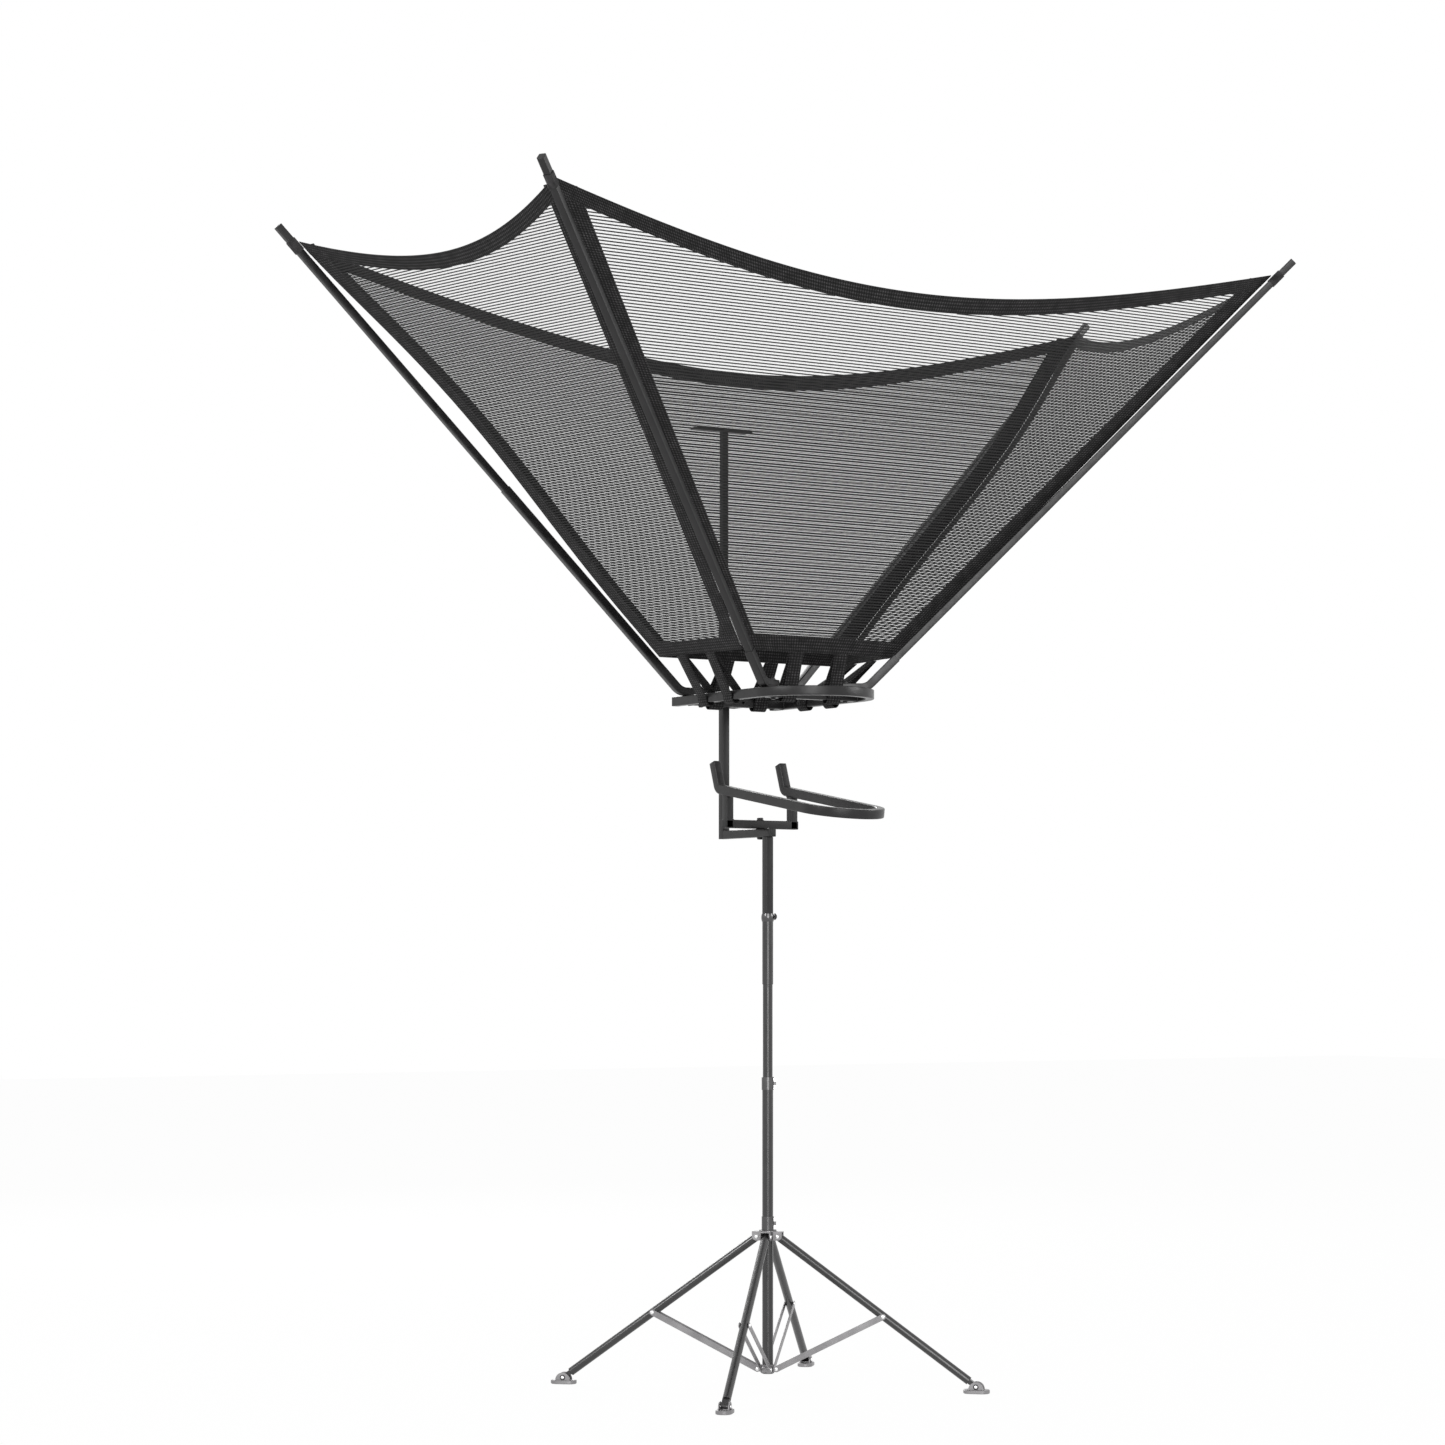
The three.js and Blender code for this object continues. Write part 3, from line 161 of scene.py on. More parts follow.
def webbing_material():
    """Polyester webbing: staggered knuckles of yarn in slanting rows, with stitches near each edge."""
    material, tree, shader = new_material("webbing")
    shader.inputs["Roughness"].default_value = 0.85
    shader.inputs["Sheen Weight"].default_value = 0.04
    shader.inputs["Specular IOR Level"].default_value = 0.25
    uv = add(tree, "ShaderNodeUVMap", uv_map="UVMap")
    split = add(tree, "ShaderNodeSeparateXYZ")
    tree.links.new(uv.outputs[0], split.inputs[0])
    along, across = split.outputs[0], split.outputs[1]
    rows = sums(tree, "COSINE", sums(tree, "MULTIPLY", along, 2 * math.pi / KNUCKLE_ALONG), 0)
    columns = sums(tree, "COSINE", sums(tree, "MULTIPLY", across, 2 * math.pi / KNUCKLE_ACROSS), 0)
    knuckle = sums(tree, "MULTIPLY_ADD", sums(tree, "ADD", rows, columns), 0.25, 0.5)
    yarn = sums(tree, "MULTIPLY", sums(tree, "PINGPONG", sums(tree, "ADD", along, across), YARN), 1 / YARN)
    weave = sums(tree, "MULTIPLY", knuckle, sums(tree, "ADD", sums(tree, "MULTIPLY", yarn, 0.35), 0.65))
    from_edge = sums(tree, "PINGPONG", across, BORDER / 2000)
    in_row = sums(tree, "COMPARE", from_edge, STITCH_FROM_EDGE, STITCH_HALF)
    dash = sums(tree, "LESS_THAN", sums(tree, "PINGPONG", along, STITCH_PITCH), STITCH_LENGTH)
    stitch = sums(tree, "MULTIPLY", in_row, dash)
    # Painted highlight and shade: the weave's raised knuckles are coloured lighter and its hollows darker,
    # with a random mottle on top.
    knuckle_light_and_mottle = sums(tree, "MULTIPLY", weave, sums(tree, "ADD", noise(tree, 40, 3), 0.5))
    tone = sums(tree, "ADD", sums(tree, "MULTIPLY", knuckle_light_and_mottle, 0.8), sums(tree, "MULTIPLY", stitch, 0.2))
    tree.links.new(ramp(tree, tone, [(0.2, (0.0012, 0.0012, 0.0012)), (0.45, (0.013, 0.0125, 0.013)),
                                     (0.8, (0.085, 0.082, 0.084))]), shader.inputs["Base Color"])
    bump(tree, shader, sums(tree, "ADD", weave, sums(tree, "MULTIPLY", stitch, 0.4)), 0.0016, 0.8)
    return material


def thread_material():
    material, tree, shader = new_material("net_thread")
    shader.inputs["Roughness"].default_value = 0.8
    tree.links.new(ramp(tree, noise(tree, 220, 3), [(0.3, 0.006), (0.7, 0.014)]), shader.inputs["Base Color"])
    bump(tree, shader, noise(tree, 1500, 2), 0.0003, 0.5)
    return material


WEBBING = webbing_material()
THREAD = thread_material()


# Mesh helpers


class Shape:
    """Collects points, faces, face uvs and material numbers, then becomes one object."""

    def __init__(self):
        self.points, self.faces, self.uvs, self.slots = [], [], [], []

    def face(self, corners, uvs=None, slot=0):
        self.faces.append(tuple(corners))
        self.uvs.append(uvs or [(0.0, 0.0)] * len(corners))
        self.slots.append(slot)

    def loop_strip(self, rings, uvs=None, slot=0, wrap=False):
        """Skins rings of equal length, each a closed section, and caps both ends or joins them."""
        start = len(self.points)
        count = len(rings[0])
        for ring in rings:
            self.points.extend(ring)
        for i in range(len(rings) if wrap else len(rings) - 1):
            for k in range(count):
                n = (k + 1) % count
                a = start + i * count
                b = start + (i + 1) % len(rings) * count
                corner_uvs = [uvs[i][k], uvs[i][k + 1], uvs[i + 1][k + 1], uvs[i + 1][k]] if uvs else None
                self.face((a + k, a + n, b + n, b + k), corner_uvs, slot)
        if not wrap:
            self.face([start + k for k in reversed(range(count))], None, slot)
            last = start + (len(rings) - 1) * count
            self.face([last + k for k in range(count)], None, slot)

    def build(self, name, body, materials, replaces=(), smooth=None, *, slot):
        mesh = bpy.data.meshes.new(name)
        mesh.from_pydata(self.points, [], self.faces)
        layer = mesh.uv_layers.new(name="UVMap")
        at = 0
        for face_uvs in self.uvs:
            for uv in face_uvs:
                layer.data[at].uv = uv
                at += 1
        for material in materials:
            mesh.materials.append(material)
        mesh.polygons.foreach_set("material_index", self.slots)
        mesh.update()
        piece = bpy.data.objects.new(name, mesh)
        bpy.context.scene.collection.objects.link(piece)
        if smooth is not None:
            mesh.shade_smooth()
            mesh.set_sharp_from_angle(angle=math.radians(smooth))
        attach(piece, body)
        for node in replaces:
            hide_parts(node)
        return piece

    def stand_in(self, node, body, materials, slot="black_paint"):
        """Becomes the smooth piece that is shown in place of a faceted node."""
        self.build(node + "_smooth", body, materials, [node], smooth=35, slot=slot)


def band_places(wide, ease):
    """How far across a band each point of its eight-sided section lies, and the first point once more."""
    return (0, ease, wide - ease, wide, wide, wide - ease, ease, 0, 0)


def band(shape, outer, inner, normal, thickness):
    """A flat woven band between two edges of matching points, with eased long edges."""
    ease = 0.0009
    half = normal.normalized() * thickness / 2
    if (inner[0] - outer[0]).cross(outer[1] - outer[0]).dot(normal) < 0:
        half = -half
    rings, uvs = [], []
    run = 0.0
    for i, (a, b) in enumerate(zip(outer, inner)):
        if i:
            run += (a + b - outer[i - 1] - inner[i - 1]).length / 2
        wide = (b - a).length
        step = (b - a) * (ease / max(wide, 2 * ease))
        ring = [a + half * 0.3, a + step + half, b - step + half, b + half * 0.3,
                b - half * 0.3, b - step - half, a + step - half, a - half * 0.3]
        rings.append(ring)
        uvs.append([(run, place) for place in band_places(wide, ease)])
    shape.loop_strip(rings, uvs)


def thread(shape, points, normal, width, depth):
    """One thread with a six-sided section in millimetres through the points, in the second material."""
    along = (points[-1] - points[0]).normalized()
    side = normal.cross(along).normalized() * (width / 1000) / 2
    deep = normal.normalized() * (depth / 1000) / 2
    hexagon = ((1, 0), (0.5, 1), (-0.5, 1), (-1, 0), (-0.5, -1), (0.5, -1))
    section = [side * c + deep * s for c, s in hexagon]
    shape.loop_strip([[point + p for p in section] for point in points], slot=1)


def rounded(width, height, radius, steps=4):
    """The points of a rounded rectangle, in millimetres, counterclockwise."""
    points = []
    for i, (sx, sy) in enumerate(((1, 1), (-1, 1), (-1, -1), (1, -1))):
        for k in range(steps + 1):
            angle = math.radians(90 * i + 90 * k / steps)
            points.append((sx * (width / 2 - radius) + radius * math.cos(angle),
                           sy * (height / 2 - radius) + radius * math.sin(angle)))
    return points


def sweep(shape, stations, section, ease=0.6):
    """Sweeps a section in millimetres along (point, tangent, side) stations, with eased ends."""
    rings = []

    def ring(point, way, side, scale):
        up = way.cross(side)
        return [point + (side * x + up * y) * scale / 1000 for x, y in section]

    first, last = stations[0], stations[-1]
    small = 1 - ease / max(abs(x) for x, _ in section)
    rings.append(ring(first[0], first[1], first[2], small))
    rings.append(ring(first[0] + first[1] * ease / 1000, first[1], first[2], 1))
    rings.extend(ring(point, way, side, 1) for point, way, side in stations[1:-1])
    rings.append(ring(last[0] - last[1] * ease / 1000, last[1], last[2], 1))
    rings.append(ring(last[0], last[1], last[2], small))
    shape.loop_strip(rings)


def straight(start, end, side):
    way = (end - start).normalized()
    return [(start, way, side), (end, way, side)]


def bent(corners, radius, side, steps=10):
    """Stations along corner points in one plane, with the corners rounded to a radius in metres."""
    ways = [(b - a).normalized() for a, b in zip(corners, corners[1:])]
    stations = [(corners[0], ways[0], side)]
    for corner, before, after in zip(corners[1:], ways, ways[1:]):
        turn = before.angle(after)
        axis = before.cross(after).normalized()
        start = corner - before * radius * math.tan(turn / 2)
        outward = before.cross(axis) * radius
        for k in range(steps + 1):
            spin = Matrix.Rotation(turn * k / steps, 3, axis)
            stations.append((start - outward + spin @ outward, spin @ before, side))
    stations.append((corners[-1], ways[-1], side))
    return stations


def turned(shape, profile, origin, axis=Vector((0, 0, 1)), steps=48, wrap=False, slot=0):
    """A solid of revolution: (radius, height) pairs in millimetres up the axis from its origin."""
    axis = axis.normalized()
    side = axis.orthogonal().normalized()
    other = axis.cross(side)
    rings = []
    for radius, height in profile:
        ring = []
        for k in range(steps):
            angle = 2 * math.pi * k / steps
            radial = side * math.cos(angle) + other * math.sin(angle)
            ring.append(origin + radial * radius / 1000 + axis * height / 1000)
        rings.append(ring)
    shape.loop_strip(rings, None, slot, wrap)


def tube_profile(outer, inner, bottom, top):
    ease = 0.4
    return [(outer, bottom + ease), (outer, top - ease), (outer - ease, top), (inner + ease, top),
            (inner, top - ease), (inner, bottom + ease), (inner + ease, bottom), (outer - ease, bottom)]


def inset(outline, distance):
    """Moves each point of a counterclockwise outline inward by a distance from both of its edges."""
    moved = []
    for i, (x, y) in enumerate(outline):
        before = Vector((x, y)) - Vector(outline[i - 1])
        after = Vector(outline[(i + 1) % len(outline)]) - Vector((x, y))
        one = Vector((-before.y, before.x)).normalized()
        two = Vector((-after.y, after.x)).normalized()
        step = (one + two) / (1 + one.dot(two)) * distance
        moved.append((x + step.x, y + step.y))
    return moved


def plate(shape, origin, across, up, outline, bottom, top, ease):
    """A plate with eased edges: its outline lies along across and up, its thickness along their normal."""
    normal = across.cross(up)
    small = inset(outline, ease)
    levels = [(small, bottom), (outline, bottom + ease), (outline, top - ease), (small, top)]
    rings = [[origin + (across * x + up * y + normal * z) / 1000 for x, y in points] for points, z in levels]
    shape.loop_strip(rings)


def arc(centre, radius, start, end, steps=10):
    """Points on an arc, in millimetres and degrees."""
    angles = [math.radians(start + (end - start) * k / steps) for k in range(steps + 1)]
    return [(centre[0] + radius * math.cos(a), centre[1] + radius * math.sin(a)) for a in angles]


def dome(shape, origin, axis, radius=6.2, slot=0):
    """A rivet's head on a face."""
    rise = 3.3
    profile = [(radius * math.cos(k * math.pi / 14), rise * math.sin(k * math.pi / 14)) for k in range(7)]
    turned(shape, [(radius - 0.2, -0.2), *profile, (0.3, rise)], origin, axis, steps=20, slot=slot)


def nut(shape, origin, axis, radius, height, slot=0):
    """A hexagon with chamfered corners on a washer."""
    washer = [(radius + 1.4, 0), (radius + 1.7, 0.3), (radius + 1.7, 0.9), (radius + 1.4, 1.2)]
    turned(shape, washer, origin, axis, 24, slot=slot)
    hexagon = [(radius, 1.1), (radius, height - 0.7), (radius * 0.86, height)]
    turned(shape, hexagon, origin, axis, 6, slot=slot)


def weld(shape, points, up, radius=1.9, closed=True):
    """A rippled bead along points in metres; up is the normal of the plane that they lie in."""
    rings = []
    count = len(points)
    for i, point in enumerate(points):
        before = points[i - 1] if closed or i else point
        after = points[(i + 1) % count] if closed or i < count - 1 else point
        way = (after - before).normalized()
        side = way.cross(up).normalized()
        other = way.cross(side)
        size = radius * (1.1 if i % 2 else 0.85) / 1000
        angles = [2 * math.pi * k / 8 for k in range(8)]
        rings.append([point + (side * math.cos(a) + other * math.sin(a)) * size for a in angles])
    shape.loop_strip(rings, wrap=closed)


def spaced(corners, closed=True):
    """An even number of points, about 1.6 mm apart, along each straight line between corners in metres."""
    pitch = 1.6
    ends = corners[1:] + corners[:1] if closed else corners[1:]
    points = []
    for a, b in zip(corners, ends):
        steps = max(2, round((b - a).length * 1000 / pitch / 2) * 2)
        points.extend(a.lerp(b, k / steps) for k in range(steps))
    return points if closed else points + [corners[-1]]


def plug(shape, end, way, side, width, height):
    """A moulded end plug: a lip over the tube's end with a low crown."""
    section = rounded(width, height, 2.4)
    levels = [(0.97, -0.3), (1.0, 0.2), (1.0, 1.6), (0.93, 2.4), (0.6, 2.8)]
    up = way.cross(side)
    rings = [[end + (side * x * f + up * y * f + way * z) / 1000 for x, y in section] for f, z in levels]
    shape.loop_strip(rings)


# Sizes that several pieces share, at the part's own places

X, Y, Z = Vector((1, 0, 0)), Vector((0, 1, 0)), Vector((0, 0, 1))
GAP = 0.3
RAIL_WIDE, RAIL_HIGH = 25, 28
RING_Z, RING_HALF, RING_END_Y = 2084, 180, 236
FRONT_BAR_Y, BACK_BAR_Y = -222, 172
TUBE = 25.2
POST_Y, POST_WALL_Y = 241, 229.5
L_BAR_UNDER, L_BAR_Z, L_BAR_END_Y = 1668.3, 1680.9, -24
BRACKET_Y, BRACKET_END_X, UPRIGHT_X = 41, 129.6, 117
CHUTE_RISE, CHUTE_SLOPE, CHUTE_HALF = 1800, math.radians(9.2), 120
CHUTE_BEND_Y, CHUTE_ARC_Y = 80, -378
STUB_LEAN, STUB_LENGTH = math.radians(19), 84
ARM_BOLT_X, ARM_BACK = 130, 16
ROOT_Z = RING_Z + RAIL_HIGH / 2 + GAP + 12.5
TIP_Z, TOP_Z, HEM_Z = 3402, 3362, 2204
BACK_TIP, FRONT_TIP = (1484, 313), (1312, -887)
HEM_BACK, HEM_FRONT = (325, 98), (272, -272)
LEG_NAMES = ("right_back", "left_back", "left_front", "right_front")
HUB_PIN, FOOT_PIN, COLLAR_PIN = (32, 460), (636, 20), (29, 60)
EAR_FACE, EAR_THICK = 13, 3
CLAMP_TURN = math.radians(-33)
SQUARE = rounded(TUBE, TUBE, 2.6)
RAIL = rounded(RAIL_WIDE, RAIL_HIGH, 2.8)
SIDES = (("left", -1), ("right", 1))
FOOT_OF_MAST = mm(0, 0, 0)


# Net

RISE = (TOP_Z - HEM_Z) / 1000
SEAM_INSET = 1.7
SEAM_BOW, BOW_PEAK = Vector((0, -0.075, 0)), 0.6
LINES, BACK_LINES = (9.0, 3.8, 2.4), (3.9, 2.4, 1.0)
CROSS_PITCH, CROSS_WIDTH, CROSS_DEPTH = 4.5, 0.3, 0.3
TOP_BAND, HEM_BAND, SIDE_BAND = 0.0030, 0.0028, 0.0026
TOP_STEPS, HEM_STEPS, SIDE_STEPS = 72, 8, 24
TUCK = 0.004


def corner(tip, bar_y, inwards, forwards, sign):
    """The net's top corner by an arm: down the arm's 45 degrees from its tip, then inwards and forwards."""
    plan = Vector((tip[0] - ARM_BOLT_X, tip[1] - bar_y)).normalized()
    x = tip[0] - (TIP_Z - TOP_Z + inwards) * plan.x
    y = tip[1] - (TIP_Z - TOP_Z + inwards) * plan.y - forwards
    return mm(sign * x, y, TOP_Z)


def net_panels():
    """Each panel's corners from the left of its hem round, its sag, which sides bow, and its lines."""
    back = {s: corner(BACK_TIP, BACK_BAR_Y, 14, 16, s) for s in (-1, 1)}
    front = {s: corner(FRONT_TIP, FRONT_BAR_Y, 24, 0, s) for s in (-1, 1)}
    hem_back = {s: mm(s * HEM_BACK[0], HEM_BACK[1], HEM_Z) for s in (-1, 1)}
    hem_front = {s: mm(s * HEM_FRONT[0], HEM_FRONT[1], HEM_Z) for s in (-1, 1)}
    return {
        "net_front": ((hem_front[-1], hem_front[1], front[1], front[-1]), 168, (0, 0), LINES),
        "net_back": ((hem_back[1], hem_back[-1], back[-1], back[1]), 262, (1, 1), BACK_LINES),
        "net_left": ((hem_back[-1], hem_front[-1], front[-1], back[-1]), 100, (1, 0), LINES),
        "net_right": ((hem_front[1], hem_back[1], back[1], front[1]), 100, (0, 1), LINES),
    }


class Panel:
    """A trapezoid of net with a sagging top edge: u runs across it and h up it, from 0 to 1."""

    def __init__(self, corners, sag, bows):
        self.hem_left, self.hem_right, self.top_right, self.top_left = corners
        self.sag, self.bows, self.inset = sag / 1000, bows, SEAM_INSET / 1000
        across = (self.hem_right - self.hem_left).normalized()
        upward = self.top_left - self.hem_left
        self.normal = across.cross(upward).normalized()
        self.side = BORDER / 1000 / math.sin(upward.angle(across))
        middles = (self.top_left + self.top_right) / 2, (self.hem_left + self.hem_right) / 2
        self.column = (middles[0] - middles[1]).length
        self.edge = BORDER / 1000 / self.column

    def width(self, h):
        return (self.hem_left.lerp(self.top_left, h) - self.hem_right.lerp(self.top_right, h)).length

    def share(self, h, distance):
        return distance / self.width(h)

    def at(self, u, h):
        slack = SEAM_BOW * h ** 3 * (1 - h) ** 2 / (BOW_PEAK ** 3 * (1 - BOW_PEAK) ** 2)
        left = self.hem_left.lerp(self.top_left, h) + slack * self.bows[0]
        right = self.hem_right.lerp(self.top_right, h) + slack * self.bows[1]
        return left.lerp(right, u)

    def top(self, u):
        return 1 - self.sag * 4 * u * (1 - u) / RISE

    def spread(self, h, steps):
        """Places across the panel at h, from one seam's inset to the other's."""
        inset = self.share(h, self.inset)
        return [inset + i / steps * (1 - 2 * inset) for i in range(steps + 1)]

    def borders(self, shape):
        """Bands along the top, the hem and the sides, in three thicknesses, so that no faces coincide."""
        us = self.spread(1, TOP_STEPS)
        below = [self.at(u, self.top(u) - self.edge) for u in us]
        band(shape, [self.at(u, self.top(u)) for u in us], below, self.normal, TOP_BAND)
        us = self.spread(0, HEM_STEPS)
        above = [self.at(u, self.edge) for u in us]
        band(shape, [self.at(u, 0) for u in us], above, self.normal, HEM_BAND)
        hs = [i / SIDE_STEPS * (1 - self.edge * 0.35) for i in range(SIDE_STEPS + 1)]
        for flip in (False, True):
            edges = []
            for distance in (self.inset, self.inset + self.side):
                us = [self.share(h, distance) for h in hs]
                edges.append([self.at(1 - u if flip else u, h) for u, h in zip(us, hs)])
            band(shape, *edges, self.normal, SIDE_BAND)

    def lines(self, shape, pitch, width, depth):
        """Level threads, each in two spans where it meets the sagging top edge."""
        step = pitch / 1000 / self.column
        h = self.edge + step / 2
        while h < 1 - self.edge:
            low = self.share(h, self.inset + self.side - TUCK)
            room = (1 - self.edge - h) * RISE / self.sag
            spans = [(low, 1 - low)]
            if room < 1:
                cut = (1 - math.sqrt(1 - room)) / 2 + self.share(h, TUCK)
                spans = [(low, cut), (1 - cut, 1 - low)]
            for a, b in spans:
                if (b - a) * self.width(h) > 2 * TUCK:
                    thread(shape, [self.at(a, h), self.at(b, h)], self.normal, width, depth)
            h += step

    def crossings(self, shape):
        """Fine threads straight up from the hem or a side to the top edge."""
        count = int(self.width(1) / 2 / (CROSS_PITCH / 1000))
        grow = self.width(1) - self.width(0)
        tuck = TUCK / self.column
        steps = 8 if any(self.bows) else 1
        for k in range(-count, count + 1):
            t = (k + 0.5) * CROSS_PITCH / 1000
            at_side = (2 * (abs(t) + self.inset + self.side - TUCK) - self.width(0)) / grow
            low = max(self.edge - tuck, at_side)
            high = 1 - self.edge
            for _ in range(12):
                u = 0.5 + t / self.width(high)
                high = self.top(min(max(u, 0), 1)) - self.edge + tuck
            if high - low > 2 * TUCK / self.column:
                hs = [low + i / steps * (high - low) for i in range(steps + 1)]
                points = [self.at(0.5 + t / self.width(h), h) for h in hs]
                thread(shape, points, self.normal, CROSS_WIDTH, CROSS_DEPTH)

    def area(self):
        trapezoid = (self.width(0) + self.width(1)) / 2 * self.column
        return trapezoid - 2 / 3 * self.sag * self.column / RISE * self.width(1)


def net():
    for node, (corners, sag, bows, lines) in net_panels().items():
        panel, shape = Panel(corners, sag, bows), Shape()
        panel.borders(shape)
        panel.lines(shape, *lines)
        panel.crossings(shape)
        piece = shape.build(node + "_mesh", "head", [WEBBING, THREAD], [node], slot="mesh")
        panel.width(1)
        panel.area()


# Straps

STRAP_WIDTH, STRAP_THICK, STRAP_EASE = 0.048, 0.0016, 0.0008
STRAP_SPLIT, STRAP_X = 3, 80
LOOP_OUT, LOOP_DOWN, LOOP_OVER = 16, 24, 3.2
SIDE_STRAPS = ((0.27, 62), (0.62, -76))


def strap_path(hem_out, hem_up):
    """The strap from the hem, round its rail and back: outward and up from the rail's middle."""
    path = [(hem_out + STRAP_SPLIT / 2, hem_up)]
    turns = [i * math.pi / 24 for i in range(25)]
    under = [(LOOP_OUT * math.cos(a), -LOOP_DOWN * math.sin(a)) for a in turns]
    over = RAIL_HIGH / 2 + LOOP_OVER
    if hem_out > 0:
        path += under + [(LOOP_OVER - LOOP_OUT, over)]
    else:
        path += [(LOOP_OUT - LOOP_OVER, over)] + under
    path.append((hem_out - STRAP_SPLIT / 2, hem_up))
    return path


def strap(name, rail, out, hem):
    rail, hem, out = mm(*rail), mm(*hem), Vector(out)
    along = Vector((-out.y, out.x, 0))
    to_hem = hem - rail
    shift = to_hem.dot(along)
    centres = []
    for x, z in strap_path(to_hem.dot(out) * 1000, to_hem.z * 1000):
        lift = max(z / 1000, 0) / to_hem.z
        centres.append(rail + out * x / 1000 + along * shift * lift + Vector((0, 0, z / 1000)))
    shape = Shape()
    rings, uvs = [], []
    run = 0.0
    half = STRAP_WIDTH / 2
    places = band_places(2 * half, STRAP_EASE)
    for i, centre in enumerate(centres):
        before, after = centres[max(i - 1, 0)], centres[min(i + 1, len(centres) - 1)]
        way = (after - before).normalized()
        face = along.cross(way).normalized() * STRAP_THICK / 2
        if i:
            run += (centre - centres[i - 1]).length
        section = []
        for w, t in ((-1, 0.3), (-1, 1), (1, 1), (1, 0.3), (1, -0.3), (1, -1), (-1, -1), (-1, -0.3)):
            reach = half if abs(t) < 1 else half - STRAP_EASE
            section.append(centre + along * w * reach + face * t)
        rings.append(section)
        uvs.append([(run, place) for place in places])
    shape.loop_strip(rings, uvs)
    shape.build(name + "_web", "head", [WEBBING], [name], smooth=40, slot="webbing")


def hem_under(run):
    """Just under the hem band of a panel that leans out by run from its hem to its top."""
    half_band = 1.5
    return HEM_Z - half_band * math.sin(math.atan2(run, TOP_Z - HEM_Z)) - GAP


def straps():
    front_under = hem_under(HEM_FRONT[1] - FRONT_TIP[1])
    back_under = hem_under(BACK_TIP[1] - HEM_BACK[1])
    side_under = hem_under(BACK_TIP[0] - HEM_BACK[0])
    inwards, forwards = HEM_BACK[0] - HEM_FRONT[0], HEM_BACK[1] - HEM_FRONT[1]
    for side, sign in SIDES:
        x = sign * STRAP_X
        strap(f"strap_front_{side}", (x, FRONT_BAR_Y, RING_Z), (0, -1, 0), (x, HEM_FRONT[1], front_under))
        strap(f"strap_back_{side}", (x, BACK_BAR_Y, RING_Z), (0, 1, 0), (x, HEM_BACK[1], back_under))
        for i, (share, y) in enumerate(SIDE_STRAPS):
            hem = (sign * (HEM_BACK[0] - inwards * share), HEM_BACK[1] - forwards * share, side_under)
            strap(f"strap_{side}_{i + 1}", (sign * RING_HALF, y, RING_Z), (sign, 0, 0), hem)


# Mast: tubes and the top collar

ROUND_TUBES = {
    "lower_tube": ("stand", (16.5, 15.1, 45, 925)),
    "mast_tube": ("mast", (14.8, 13.4, 560, 1245)),
    "mast_sleeve": ("mast", (16.5, 15.1, 1222, 1418)),
}


def tubes():
    for node, (body, sizes) in ROUND_TUBES.items():
        shape = Shape()
        turned(shape, tube_profile(*sizes), FOOT_OF_MAST, wrap=True)
        shape.stand_in(node, body, [GLOSS])


def top_collar():
    bottom, top, sleeve_top = 1412, 1436, 1418.3
    outer, bulge, bore, step = 17.6, 2, 15.1, 16.8
    profile = [(step, bottom), (outer, bottom)]
    profile += [(outer + bulge * math.sin(math.pi * k / 12), bottom + 2 * k) for k in range(1, 12)]
    profile += [(outer, top), (bore, top), (bore, sleeve_top), (step, sleeve_top)]
    shape = Shape()
    turned(shape, profile, FOOT_OF_MAST, wrap=True)
    shape.stand_in("top_collar", "mast", [COLLAR])


# Legs


def leg_turn(i):
    return Matrix.Rotation(math.radians(45 + 90 * i), 3, "Z")


def leg_frame(i):
    """The outward and sideways directions of leg i."""
    spin = leg_turn(i)
    return spin @ X, spin @ Y


def legs():
    """Round legs with a domed upper end, flattened to a tongue at the foot's pin."""
    radius, round_share, tongue = 12.5, 28, 7
    run = Vector((FOOT_PIN[0] - HUB_PIN[0], 0, FOOT_PIN[1] - HUB_PIN[1]))
    length, way = run.length, run.normalized()
    up = way.cross(Y)
    end = length - round_share
    head = [(radius * math.sin(k * math.pi / 16), -radius * math.cos(k * math.pi / 16)) for k in range(9)]
    head[0] = (0.3, -radius)
    nose = [(-tongue * math.sin(k * math.pi / 16), tongue * math.cos(k * math.pi / 16)) for k in range(17)]
    outline = [(end - 10, tongue), *[(length - x, z) for x, z in nose], (end - 10, -tongue)]
    for i, name in enumerate(LEG_NAMES):
        spin = leg_turn(i)
        origin = mm(*(spin @ Vector((HUB_PIN[0], 0, HUB_PIN[1]))))
        shape = Shape()
        turned(shape, head + [(radius, end - 0.5), (radius - 0.5, end)], origin, spin @ way, steps=40)
        sections = []
        for y, scale in ((-11, 0.92), (-10.5, 1), (10.5, 1), (11, 0.92)):
            sections.append([origin + spin @ (way * x + up * z * scale + Y * y) / 1000 for x, z in outline])
        shape.loop_strip(sections)
        shape.stand_in(f"leg_{name}", f"leg_{name}", [GLOSS])


# Head: post, ring and arms


def post():
    shape = Shape()
    sweep(shape, straight(mm(0, POST_Y, L_BAR_UNDER), mm(0, POST_Y, 2362), X), SQUARE)
    sweep(shape, straight(mm(0, L_BAR_END_Y, L_BAR_Z), mm(0, POST_WALL_Y, L_BAR_Z), X), SQUARE)
    sweep(shape, straight(mm(0, 0, 1628.3), mm(0, 0, 1670), X), rounded(20.4, 20.4, 2))
    shape.stand_in("post_lower", "head", [PAINT])
    shape = Shape()
    sweep(shape, straight(mm(0, POST_Y, 2180), mm(0, POST_Y, 2925.7), X), rounded(20.6, 20.6, 2.2))
    shape.stand_in("post_upper", "post_top", [PAINT])
    shape = Shape()
    sweep(shape, straight(mm(-100, 254, 2929), mm(100, 254, 2929), Y), rounded(46, 6, 1.2), ease=0.8)
    shape.stand_in("hook_plate", "post_top", [PAINT])
    shape = Shape()
    sweep(shape, straight(mm(0, 0, 1436.3), mm(0, 0, 1668), X), SQUARE)
    turned(shape, [(14.4, 1290), (14.8, 1290.4), (14.8, 1438)], FOOT_OF_MAST)
    shape.stand_in("mast_top", "head", [PAINT])


